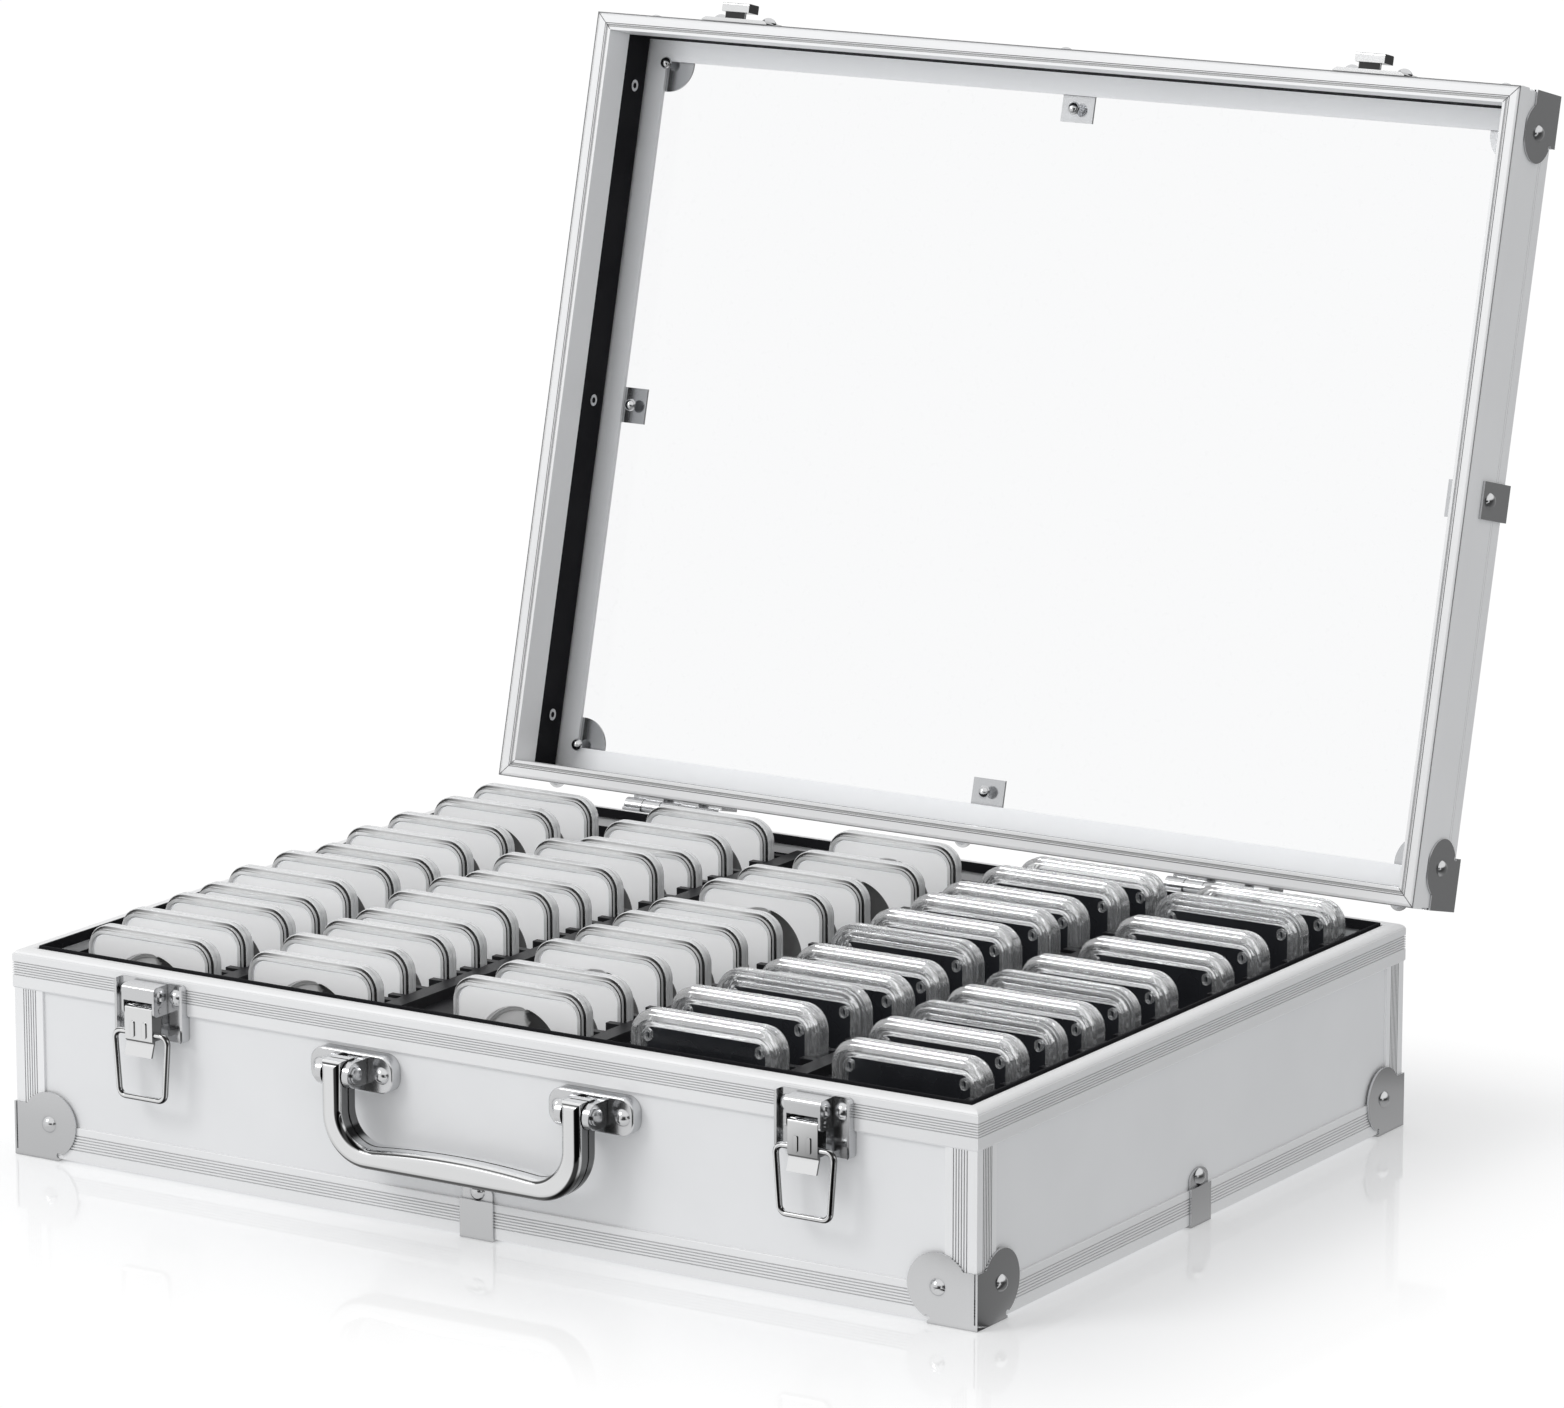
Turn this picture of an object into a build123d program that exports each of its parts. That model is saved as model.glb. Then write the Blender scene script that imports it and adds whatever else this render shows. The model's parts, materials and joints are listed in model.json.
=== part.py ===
from build123d import *
from math import cos, radians
import os

# Coin display case: a shallow aluminium-edged case with a clear-windowed lid,
# two draw latches, a folding handle and five racks of slab-shaped coin holders.
# Millimetres. The origin is the middle of the base's underside, +Z up, the
# latches and the handle face -Y. The lid is drawn closed, then turned open.

# ---------------------------------------------------------------- overall
CREST_Z = 79.0
LID_T = 34.0
SEAM_GAP = 0.2
LID_OPEN_DEG = 104.0

# ---------------------------------------------------------------- panels and skins
SHEET_T = 0.8
EDGE_T = 1.0
EDGE_INSET = 0.5
PANEL_T = 4.0
LINING_T = 1.2
FLOOR_LINING_T = 0.7
BOTTOM_T = 3.0
FIELD_INSET = 29.0
MITRE_MARGIN = 30.0

# ---------------------------------------------------------------- grooved extrusions
EDGE_LEG = 13.0
EDGE_FLAT = 2.8
EDGE_GROOVE_COUNT = 6
EDGE_GROOVE_PITCH = 1.1
GROOVE_DEPTH = 0.5
GROOVE_FLAT = 0.45
RIM_BOTTOM_Z = 64.2
RIM_GROOVE_TOP_Z = 74.4
RIM_GROOVE_PITCH = 0.96
RIM_GROOVE_COUNT = 6
RIM_EDGE_Z = 77.6
RIM_ROOF = 2.0
RIM_INNER_LEG = 5.0

# ---------------------------------------------------------------- corner guards and clips
GUARD_SQUARE = 20.5
GUARD_ALONG = 16.2
GUARD_SEAM = 1.4
GUARD_SEAM_FROM = 2.2
GUARD_RELIEF_R = 1.1
BASE_GUARD_UP = 13.6
BASE_GUARD_R = 12.4
LID_GUARD_UP = 15.3
LID_GUARD_R = 11.5
CLIP_W = 14.5
CLIP_NECK_W = 13.0
CLIP_NECK_TOP = 21.0
CLIP_UNDER = 12.0
RIVET_R = 3.2
RIVET_H = 2.1
CLIP_RIVET_Z = 17.6

# ---------------------------------------------------------------- lid
LID_FACE_W = 7.0
LID_FACE_ROOF = 3.0
LID_BAND = 7.4
LID_BAND_STEP = 0.6
LID_INNER_LEG = 14.7
LID_FLANGE_T = 1.5
LID_FLANGE_W = 15.0
WINDOW_T = 1.8
LID_CLIP_FROM = 13.0
LID_CLIP_TAB = 25.7
EYELET_U = 23.0
EYELET_SPREAD = 130.0
EYELET_R = 2.4
EYELET_T = 0.6
SCREW_R = 2.6

# ---------------------------------------------------------------- rear hinges
HINGE_BACK = 4.3
HINGE_UP = 0.3
HINGE_X = 125.0
HINGE_W = 42.0
HINGE_LEAF_H = 12.0
HINGE_LEAF_T = 1.5
HINGE_BARREL_R = 3.2
HINGE_PIN_R = 1.5
HINGE_NOTCH = 3.8
HINGE_KNUCKLES = 5
HINGE_RIVET_X = 14.0
HINGE_RIVET_R = 2.2
HINGE_RIVET_H = 1.1
KNUCKLE_GAP = 0.3
RUN_CLEAR = 0.05
LAP = 0.2

# ---------------------------------------------------------------- latches
LATCH_X = 144.4
LATCH_W = 31.0
LATCH_LOW_Z = 54.2
LATCH_TOP_Z = 76.2
LATCH_CORNER_R = 2.0
LATCH_PAN_T = 1.0
LATCH_PAN_DEPTH = 3.2
LATCH_RIVET_IN = 4.2
LATCH_RIVET_Z = 71.0
CHEEK_IN = 6.5
CHEEK_T = 0.9
CHEEK_LOW_Z = 64.6
CHEEK_TOP_Z = 75.8
CHEEK_REACH = 9.4
CHEEK_CORNER_R = 1.8
CHEEK_HOLE_R = 1.3
CHEEK_HOLE_L = 5.2
APRON_LOW_Z = 70.0
APRON_T = 1.0
LEVER_PIN_Y = 5.4
LEVER_PIN_Z = 66.8
LEVER_PIN_R = 1.2
LEVER_FACE_Y = 9.2
LEVER_HALF = 6.2
LEVER_SHEET = 0.9
LEVER_ROLL_R = 1.3
LEVER_BACK = 1.8
LEVER_TOP_Z = 68.2
LEVER_LOW_Z = 55.2
LEVER_RIB_X = 2.7
LEVER_RIB_R = 0.75
LEVER_RIB_L = 6.0
LEVER_RIB_PROUD = 0.5
LEVER_TAB_TOP_Y = 7.4
LEVER_TAB_Y = 10.0
LEVER_TAB_Z = 49.2
BAIL_PIVOT_Y = 7.6
BAIL_PIVOT_Z = 57.6
BAIL_WIRE_R = 1.15
BAIL_TOP_HALF = 12.2
BAIL_LOW_HALF = 10.3
BAIL_CLOSED_LEAN = 11.0
BAIL_BEND = 3.0
BAIL_STUB_IN = 4.9
BAIL_SEAT_GAP = 0.1
STRIKE_LOW_U = 0.2
STRIKE_TOP_U = 14.5
STRIKE_T = 1.5
STRIKE_END = 1.8
STRIKE_END_T = 0.5
STRIKE_SHELF = 1.2
STRIKE_LIP_IN = 4.2
STRIKE_LIP_T = 3.6
STRIKE_LIP_TOP_U = 7.6
STRIKE_LIP_SOFT = 0.6
STRIKE_HOOK_HALF = 6.4
STRIKE_NECK_IN = 1.6
STRIKE_NECK_BACK = 0.5
STRIKE_RIVET_U = 8.6

# ---------------------------------------------------------------- handle
HANDLE_X = 52.2
BRACKET_L = 36.4
BRACKET_H = 14.2
BRACKET_CORNER_R = 5.5
BRACKET_SOFT = 0.8
BRACKET_Z = 56.0
BRACKET_FRONT = 4.0
BRACKET_RIVET_X = 13.6
EAR_IN = 4.7
EAR_T = 2.6
EAR_R = 4.8
HANDLE_PIN_Y = 11.6
HANDLE_PIN_Z = 57.0
HANDLE_PIN_R = 2.0
HANDLE_LEG_W = 8.5
HANDLE_LEG_D = 12.0
HANDLE_LOW_Z = 24.0
HANDLE_GRIP_T = 6.2
HANDLE_GRIP_RISE = 3.3
HANDLE_BEND_R = 19.0
HANDLE_SOFT = 2.8
HANDLE_SEAM_W = 0.9
HANDLE_SEAM_DEPTH = 0.5

# ---------------------------------------------------------------- holders and racks
SMALL_W = 58.4
SMALL_T = 8.4
LARGE_W = 63.5
LARGE_T = 9.5
HOLDER_R = 8.0
HOLDER_TOPS = {"a": 86.9, "b": 89.2, "c": 91.7}
HOLDER_STEP = 1.7
HOLDER_CORE_SHARE = 0.52
WINDOW_IN = 5.6
WINDOW_R = 4.5
INSERT_SINK = 0.9
LARGE_SINK = 2.2
COIN_R = 17.8
COIN_GAP = 0.3
COIN_T = 2.6
COIN_DOWN = 26.2
RAIL_TOP_Z = 74.0
DECK_TOP_Z = 70.0
RAIL_W = 6.5
SIDE_PLAY = 1.0
SLOT_PLAY = 1.0
TAB_T = 3.0
TAB_REACH = 6.3
COMB_T = 0.8

# room on the left of each column, first holder's middle from the front,
# spacing of the holders from front to back, and their heights
COLUMNS = {
    "1": (18.6, 24.7, (20, 27, 20, 20, 28, 27, 22, 28, 32, 27), "abbbccbcccc"),
    "2": (15.6, 24.7, (20, 26, 20, 21, 27, 22, 22, 28, 27, 22, 30), "abbbccbccabb"),
    "3": (31.6, 27.7, (26, 26, 26, 25, 24, 36, 26, 40, 27), "bbccccccbc"),
    "4": (21.5, 24.5, (26, 30, 29, 24, 25, 27, 28, 22, 30, 29), "bccbbcccccb"),
    "5": (14.5, 35.0, (24, 27, 26, 26, 27, 42, 27, 30, 29), "abbbbbabcb"),
}
RIGHT_ROOM = 16.0
REAR_ROOM = 14.75
LARGE_COLUMNS = ("4", "5")

# ---------------------------------------------------------------- derived
HOLDER_SIZE = {
    key: (LARGE_W, LARGE_T) if key in LARGE_COLUMNS else (SMALL_W, SMALL_T) for key in COLUMNS
}
ROOMS = sum(column[0] for column in COLUMNS.values())
CASE_W = ROOMS + sum(size[0] for size in HOLDER_SIZE.values()) + RIGHT_ROOM
LAST_BACKS = [
    column[1] + sum(column[2]) + HOLDER_SIZE[key][1] / 2 for key, column in COLUMNS.items()
]
CASE_D = max(LAST_BACKS) + REAR_ROOM
HALF_W = CASE_W / 2
HALF_D = CASE_D / 2
PANEL_INSET = EDGE_INSET + EDGE_T
PANEL_IN = PANEL_INSET + PANEL_T
LINING_IN = PANEL_IN + LINING_T
EDGE_LOW_Z = SHEET_T
EDGE_TOP_Z = EDGE_LOW_Z + EDGE_LEG
BOTTOM_LOW_Z = EDGE_LOW_Z + EDGE_T
BOTTOM_TOP_Z = BOTTOM_LOW_Z + BOTTOM_T
FLOOR_Z = BOTTOM_TOP_Z + FLOOR_LINING_T
PANEL_TOP_Z = CREST_Z - RIM_ROOF
RIM_LEG_LOW_Z = PANEL_TOP_Z - RIM_INNER_LEG
LID_Z = CREST_Z + SEAM_GAP
LID_TOP_U = LID_T
WINDOW_LOW_U = LID_T - LID_FLANGE_T - WINDOW_T
HINGE_Y = HALF_D + HINGE_BACK
HINGE_Z = LID_Z + HINGE_UP - SEAM_GAP
FRONT_Y = -HALF_D
BAIL_SEAT_Z = LID_Z + STRIKE_LOW_U + STRIKE_SHELF + BAIL_WIRE_R + BAIL_SEAT_GAP
BAIL_LENGTH = (BAIL_SEAT_Z - BAIL_PIVOT_Z) / cos(radians(BAIL_CLOSED_LEAN))
INNER_HALF_W = HALF_W - LINING_IN
INNER_HALF_D = HALF_D - LINING_IN


# ================================================================ helpers
def block(x0, x1, y0, y1, z0, z1):
    middle = Pos((x0 + x1) / 2, (y0 + y1) / 2, (z0 + z1) / 2)
    return middle * Box(abs(x1 - x0), abs(y1 - y0), abs(z1 - z0))


def prism_x(points, x0, x1):
    sketch = Plane.YZ.offset(x0) * Polygon(*points, align=None)
    return extrude(sketch, x1 - x0, dir=(1, 0, 0))


def prism_y(sketch, y0, y1):
    return extrude(Plane.XZ.offset(-y0) * sketch, y1 - y0, dir=(0, 1, 0))


def prism_z(points, z0, z1):
    sketch = Plane.XY.offset(z0) * Polygon(*points, align=None)
    return extrude(sketch, z1 - z0, dir=(0, 0, 1))


def rod_x(radius, y, z, x0, x1):
    return Pos((x0 + x1) / 2, y, z) * Rot(0, 90, 0) * Cylinder(radius, abs(x1 - x0))


def rod_y(radius, x, z, y0, y1):
    return Pos(x, (y0 + y1) / 2, z) * Rot(90, 0, 0) * Cylinder(radius, abs(y1 - y0))


def rod_z(radius, x, y, z0, z1):
    return Pos(x, y, (z0 + z1) / 2) * Cylinder(radius, abs(z1 - z0))


def dome(radius, height):
    """A domed head standing on z = 0."""
    ball = (radius**2 + height**2) / (2 * height)
    body = Pos(0, 0, height - ball) * Sphere(ball)
    return body & (Pos(0, 0, ball) * Box(4 * ball, 4 * ball, 2 * ball))


def dome_out(side, along, z, proud, radius=RIVET_R, height=RIVET_H):
    """A domed head on one of the four upright sides, proud of the outline."""
    half = HALF_D if side in ("front", "back") else HALF_W
    head = Pos(along, -(half + proud), z) * Rot(90, 0, 0) * dome(radius, height)
    return around(head, side)


def around(shape, side):
    """Turn something drawn on the front to one of the four sides."""
    turn = {"front": 0, "right": 90, "back": 180, "left": 270}[side]
    return Rot(0, 0, turn) * shape


def four_corners(shape):
    """A piece drawn at the front left corner, and its three mirror images."""
    across = mirror(shape, Plane.YZ)
    return [shape, across, mirror(shape, Plane.XZ), mirror(across, Plane.XZ)]


def member(profile, side):
    """One mitred length of a frame: profile is (depth from the face, height)."""
    long_side = side in ("front", "back")
    half_l = (CASE_W if long_side else CASE_D) / 2
    half = HALF_D if long_side else HALF_W
    over = MITRE_MARGIN
    bar = prism_x([(n - half, z) for n, z in profile], -half_l - over, half_l + over)
    low = min(z for n, z in profile) - over
    high = max(z for n, z in profile) + over
    mitre = [
        (-half_l - over, -half - over),
        (half_l + over, -half - over),
        (half_l - over, over - half),
        (over - half_l, over - half),
    ]
    return around(bar & prism_z(mitre, low, high), side)


def frame_of(profile):
    return [member(profile, side) for side in ("front", "right", "back", "left")]


def groove(n, z_top, pitch, depth=GROOVE_DEPTH):
    """Four profile points of one groove running down from z_top."""
    slope = (pitch - GROOVE_FLAT) / 4
    return [
        (n, z_top),
        (n + depth, z_top - slope),
        (n + depth, z_top - slope - GROOVE_FLAT / 2),
        (n, z_top - 2 * slope - GROOVE_FLAT / 2),
    ]


def grooves(n, z_top, pitch, count, depth=GROOVE_DEPTH):
    points = []
    for i in range(count):
        points += groove(n, z_top - i * pitch, pitch, depth)
    return points


def lid_open(shape):
    """Take a lid piece from the closed drawing to its open rest place."""
    return shape.rotate(Axis((0, HINGE_Y, HINGE_Z), (1, 0, 0)), -LID_OPEN_DEG)


def save(name, shapes):
    solids = []
    for shape in shapes:
        solids += list(shape.solids())
    export_step(Compound(children=solids), f"parts/{name}.step")


def save_lid(name, shapes):
    save(name, [lid_open(shape) for shape in shapes])


# ================================================================ base
def make_panels():
    y_out = HALF_D - PANEL_INSET
    y_in = HALF_D - PANEL_IN
    x_out = HALF_W - PANEL_INSET
    x_in = HALF_W - PANEL_IN
    low, top = BOTTOM_LOW_Z, PANEL_TOP_Z
    save("panel_front", [block(-x_out, x_out, -y_out, -y_in, low, top)])
    save("panel_back", [block(-x_out, x_out, y_in, y_out, low, top)])
    save("panel_left", [block(-x_out, -x_in, -y_in, y_in, low, top)])
    save("panel_right", [block(x_in, x_out, -y_in, y_in, low, top)])
    board = block(-x_in, x_in, -y_in, y_in, low, BOTTOM_TOP_Z)
    x, y = HALF_W - FIELD_INSET, HALF_D - FIELD_INSET
    board += block(-x, x, -y, y, EDGE_LOW_Z, low + 0.1)
    save("panel_bottom", [board])


def rim_profile():
    outer = [(0.5, RIM_BOTTOM_Z), (PANEL_INSET, RIM_BOTTOM_Z), (PANEL_INSET, PANEL_TOP_Z)]
    inner = [
        (PANEL_IN, PANEL_TOP_Z),
        (PANEL_IN, RIM_LEG_LOW_Z),
        (LINING_IN, RIM_LEG_LOW_Z),
        (LINING_IN, CREST_Z - 0.9),
        (LINING_IN - 0.3, CREST_Z - 0.3),
        (LINING_IN - 1.2, CREST_Z),
    ]
    top = [(3.2, CREST_Z), (1.9, CREST_Z - 0.25), (0.9, CREST_Z - 0.75), (0.3, RIM_EDGE_Z)]
    face = [(0.3, RIM_EDGE_Z - 0.3), (0.0, RIM_EDGE_Z - 0.5)]
    ribs = grooves(0.0, RIM_GROOVE_TOP_Z, RIM_GROOVE_PITCH, RIM_GROOVE_COUNT)
    return outer + inner + top + face + ribs + [(0.0, RIM_BOTTOM_Z + 0.6)]


def edge_profile():
    n_out, n_in = EDGE_INSET, PANEL_INSET
    first = EDGE_TOP_Z - EDGE_FLAT
    foot = EDGE_INSET + EDGE_LEG
    under = [
        (n_out, EDGE_LOW_Z),
        (foot, EDGE_LOW_Z),
        (foot, BOTTOM_LOW_Z),
        (n_in, BOTTOM_LOW_Z),
        (n_in, EDGE_TOP_Z),
        (n_out + 0.2, EDGE_TOP_Z),
        (n_out, EDGE_TOP_Z - 0.2),
    ]
    return under + grooves(n_out, first, EDGE_GROOVE_PITCH, EDGE_GROOVE_COUNT)


def post():
    """An upright angle at the front left corner, with grooves on both legs."""
    x_out, y_out = EDGE_INSET - HALF_W, EDGE_INSET - HALF_D
    low, top = EDGE_TOP_Z, RIM_BOTTOM_Z
    corner = block(x_out, x_out + EDGE_LEG, y_out, y_out + EDGE_LEG, low, top)
    inside = block(x_out + EDGE_T, 0, y_out + EDGE_T, 0, low - 1, top + 1)
    body = corner - inside
    for i in range(EDGE_GROOVE_COUNT):
        run = EDGE_LEG - EDGE_FLAT - (i + 0.7) * EDGE_GROOVE_PITCH
        wide = GROOVE_FLAT
        deep = GROOVE_DEPTH
        body -= block(x_out + run, x_out + run + wide, y_out - 1, y_out + deep, low - 1, top + 1)
        body -= block(x_out - 1, x_out + deep, y_out + run, y_out + run + wide, low - 1, top + 1)
    return body


def lobe_outline(along, up, radius):
    """Outline of one guard lobe, in from the case corner."""
    square = Pos(GUARD_SQUARE / 2, GUARD_SQUARE / 2) * Rectangle(GUARD_SQUARE, GUARD_SQUARE)
    return square + Pos(along, up) * Circle(radius)


def guard(face_n, up, radius):
    """A three-lobed sheet corner with its corner at the origin, z up from 0."""
    flat = lobe_outline(GUARD_ALONG, GUARD_ALONG, radius)
    upright = lobe_outline(GUARD_ALONG, up, radius)
    reach = (radius**2 - (GUARD_SQUARE - GUARD_ALONG) ** 2) ** 0.5
    relief_up = up - reach
    upright -= Pos(GUARD_SQUARE, relief_up) * Circle(GUARD_RELIEF_R)
    under = extrude(flat, SHEET_T, dir=(0, 0, 1))
    front = extrude(Plane.XZ * upright, SHEET_T, dir=(0, 1, 0))
    left = extrude(Plane.YZ * upright, SHEET_T, dir=(1, 0, 0))
    seam = block(0, GUARD_SEAM, 0, SHEET_T, GUARD_SEAM_FROM, GUARD_SQUARE + 1)
    side_edge = block(0, SHEET_T, 0, SHEET_T, GUARD_SEAM_FROM, GUARD_SQUARE)
    piece = under + (front - seam) + left + side_edge
    return Pos(face_n - HALF_W, face_n - HALF_D, 0) * piece


def base_clip(side):
    """A strap over the bottom edge, with a necked tongue up the panel."""
    half = HALF_D if side in ("front", "back") else HALF_W
    out = EDGE_INSET - half
    strap = block(-CLIP_W / 2, CLIP_W / 2, out - EDGE_T, out, 0, EDGE_TOP_Z + 0.6)
    under = block(-CLIP_W / 2, CLIP_W / 2, out - EDGE_T, out + CLIP_UNDER, 0, EDGE_LOW_Z)
    low = EDGE_TOP_Z
    straight = CLIP_NECK_TOP - CLIP_NECK_W / 3
    neck = block(-CLIP_NECK_W / 2, CLIP_NECK_W / 2, out, out + EDGE_T, low, straight)
    tip = Pos(0, straight) * Ellipse(CLIP_NECK_W / 2, CLIP_NECK_W / 3)
    upper = Pos(0, straight + CLIP_NECK_W / 2) * Rectangle(CLIP_NECK_W, CLIP_NECK_W)
    neck += prism_y(tip & upper, out, out + EDGE_T)
    join = block(-CLIP_NECK_W / 2, CLIP_NECK_W / 2, out - 0.5, out + EDGE_T, low, low + 0.6)
    return around(strap + under + neck + join, side)


def make_base_skins():
    save("base_rim", frame_of(rim_profile()))
    save("base_edges", frame_of(edge_profile()))
    save("corner_posts", four_corners(post()))
    save("base_guards", four_corners(guard(EDGE_INSET - SHEET_T, BASE_GUARD_UP, BASE_GUARD_R)))
    sides = ("front", "right", "back", "left")
    save("base_clips", [base_clip(side) for side in sides])
    heads = []
    proud = SHEET_T - EDGE_INSET
    for side in sides:
        along = (HALF_W if side in ("front", "back") else HALF_D) - GUARD_ALONG + proud
        for sign in (-1, 1):
            heads.append(dome_out(side, sign * along, BASE_GUARD_UP, proud))
        heads.append(dome_out(side, 0, CLIP_RIVET_Z, -EDGE_INSET))
    save("base_rivets", heads)


def lining_strips(low, top):
    x_out, y_out = HALF_W - PANEL_IN, HALF_D - PANEL_IN
    x_in, y_in = x_out - LINING_T, y_out - LINING_T
    return [
        block(-x_out, x_out, -y_out, -y_in, low, top),
        block(-x_out, x_out, y_in, y_out, low, top),
        block(-x_out, -x_in, -y_in, y_in, low, top),
        block(x_in, x_out, -y_in, y_in, low, top),
    ]


def make_linings():
    save("wall_lining", lining_strips(BOTTOM_TOP_Z, RIM_LEG_LOW_Z))
    x, y = INNER_HALF_W, INNER_HALF_D
    save("floor_lining", [block(-x, x, -y, y, BOTTOM_TOP_Z, FLOOR_Z)])


# ================================================================ racks and holders
def holder_places(key):
    """Middle y of every holder in a column, front to back."""
    places = [FRONT_Y + COLUMNS[key][1]]
    for step in COLUMNS[key][2]:
        places.append(places[-1] + step)
    return places


def column_span(key):
    """Left and right of a column of holders."""
    x = -HALF_W
    for other, column in COLUMNS.items():
        left = x + column[0]
        x = left + HOLDER_SIZE[other][0]
        if other == key:
            return left, x


def rail(x0, x1, last):
    """The web between two columns: a tall rail beside a lower deck."""
    y = INNER_HALF_D - 0.2
    if last:
        return block(x0, x1, -y, y, FLOOR_Z, RAIL_TOP_Z)
    step = min(x0 + RAIL_W, x1)
    tall = block(x0, step, -y, y, FLOOR_Z, RAIL_TOP_Z)
    return tall + block(step, x1, -y, y, FLOOR_Z, DECK_TOP_Z)


def comb(key, right_side):
    """A strip with tabs that stand in front of and behind every holder."""
    x0, x1 = column_span(key)
    deep = HOLDER_SIZE[key][1]
    wall = x1 + SIDE_PLAY if right_side else x0 - SIDE_PLAY
    sign = -1 if right_side else 1
    top = RAIL_TOP_Z if right_side else DECK_TOP_Z
    back = wall - sign * COMB_T
    y = INNER_HALF_D - 0.2
    strip = block(min(wall, back), max(wall, back), -y, y, FLOOR_Z, top)
    tip = wall + sign * TAB_REACH
    reach = deep / 2 + SLOT_PLAY + TAB_T / 2
    for place in holder_places(key):
        for middle in (place - reach, place + reach):
            if abs(middle) + TAB_T / 2 < y:
                low, high = middle - TAB_T / 2, middle + TAB_T / 2
                strip += block(min(wall, tip), max(wall, tip), low, high, FLOOR_Z, top)
    return strip


def make_racks():
    keys = list(COLUMNS)
    off = SIDE_PLAY + COMB_T
    edge = INNER_HALF_W - 0.2
    first = block(-edge, column_span(keys[0])[0] - off, -INNER_HALF_D + 0.2,
                  INNER_HALF_D - 0.2, FLOOR_Z, DECK_TOP_Z)
    rails = [first]
    for here, after in zip(keys, keys[1:]):
        rails.append(rail(column_span(here)[1] + off, column_span(after)[0] - off, False))
    rails.append(rail(column_span(keys[-1])[1] + off, edge, True))
    save("rack_rails", rails)
    save("slot_combs", [comb(key, side) for key in keys for side in (False, True)])


def rounded_plate(wide, low, high, y0, y1, radius, inset):
    """An upright plate with rounded corners, centred on x = 0."""
    tall = high - low - 2 * inset
    outline = RectangleRounded(wide - 2 * inset, tall, max(radius - inset, 1.0))
    return prism_y(Pos(0, (low + high) / 2) * outline, y0, y1)


def holder_shell(wide, deep, top):
    core = deep * HOLDER_CORE_SHARE / 2
    low = FLOOR_Z
    body = rounded_plate(wide, low, top, -core, core, HOLDER_R, 0)
    body += rounded_plate(wide, low, top, -deep / 2, deep / 2, HOLDER_R, HOLDER_STEP)
    inner = wide - 2 * WINDOW_IN
    hole = RectangleRounded(inner, top - low - 2 * WINDOW_IN, WINDOW_R)
    return body - prism_y(Pos(0, (low + top) / 2) * hole, -deep, deep)


def holder_insert(wide, deep, top, sink, with_coin):
    half = deep / 2 - sink
    low = FLOOR_Z
    inner = wide - 2 * WINDOW_IN
    outline = RectangleRounded(inner, top - low - 2 * WINDOW_IN, WINDOW_R)
    body = prism_y(Pos(0, (low + top) / 2) * outline, -half, half)
    if with_coin:
        body -= rod_y(COIN_R + COIN_GAP, 0, top - COIN_DOWN, -deep, deep)
    return body


def make_holders():
    for key in COLUMNS:
        wide, deep = HOLDER_SIZE[key]
        large = key in LARGE_COLUMNS
        left, right = column_span(key)
        middle = (left + right) / 2
        sink = LARGE_SINK if large else INSERT_SINK
        tops = COLUMNS[key][3]
        spots = [Pos(middle, y, 0) for y in holder_places(key)]
        shells = {kind: holder_shell(wide, deep, HOLDER_TOPS[kind]) for kind in set(tops)}
        inserts = {
            kind: holder_insert(wide, deep, HOLDER_TOPS[kind], sink, not large)
            for kind in set(tops)
        }
        save(f"holder_shells_{key}", [s * shells[k] for s, k in zip(spots, tops)])
        save(f"holder_inserts_{key}", [s * inserts[k] for s, k in zip(spots, tops)])
        if not large:
            coins = [
                s * rod_y(COIN_R, 0, HOLDER_TOPS[k] - COIN_DOWN, -COIN_T / 2, COIN_T / 2)
                for s, k in zip(spots, tops)
            ]
            save(f"coins_{key}", coins)


# ================================================================ handle
def bracket():
    """Plate and fork for one end of the handle, drawn round x = 0."""
    back = FRONT_Y + PANEL_INSET
    front = FRONT_Y - BRACKET_FRONT
    outline = RectangleRounded(BRACKET_L, BRACKET_H, BRACKET_CORNER_R)
    plate = prism_y(Pos(0, BRACKET_Z) * outline, front, back)
    plate = fillet(plate.faces().sort_by(Axis.Y)[0].edges(), BRACKET_SOFT)
    pin_y = FRONT_Y - HANDLE_PIN_Y
    for sign in (-1, 1):
        x0, x1 = sign * EAR_IN, sign * (EAR_IN + EAR_T)
        low, high = min(x0, x1), max(x0, x1)
        plate += block(low, high, pin_y, front, HANDLE_PIN_Z - EAR_R, HANDLE_PIN_Z + EAR_R)
        plate += rod_x(EAR_R, pin_y, HANDLE_PIN_Z, low, high)
    through = EAR_IN + 2 * EAR_T
    return plate - rod_x(HANDLE_PIN_R + RUN_CLEAR, pin_y, HANDLE_PIN_Z, -through, through)


def handle_pin():
    pin_y = FRONT_Y - HANDLE_PIN_Y
    reach = EAR_IN + EAR_T
    pin = rod_x(HANDLE_PIN_R, pin_y, HANDLE_PIN_Z, -reach - 0.8, reach + 0.8)
    for sign in (-1, 1):
        x0 = sign * (reach + 0.1)
        pin += rod_x(HANDLE_PIN_R + 0.9, pin_y, HANDLE_PIN_Z, x0, x0 + sign * 0.9)
    return pin


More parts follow.
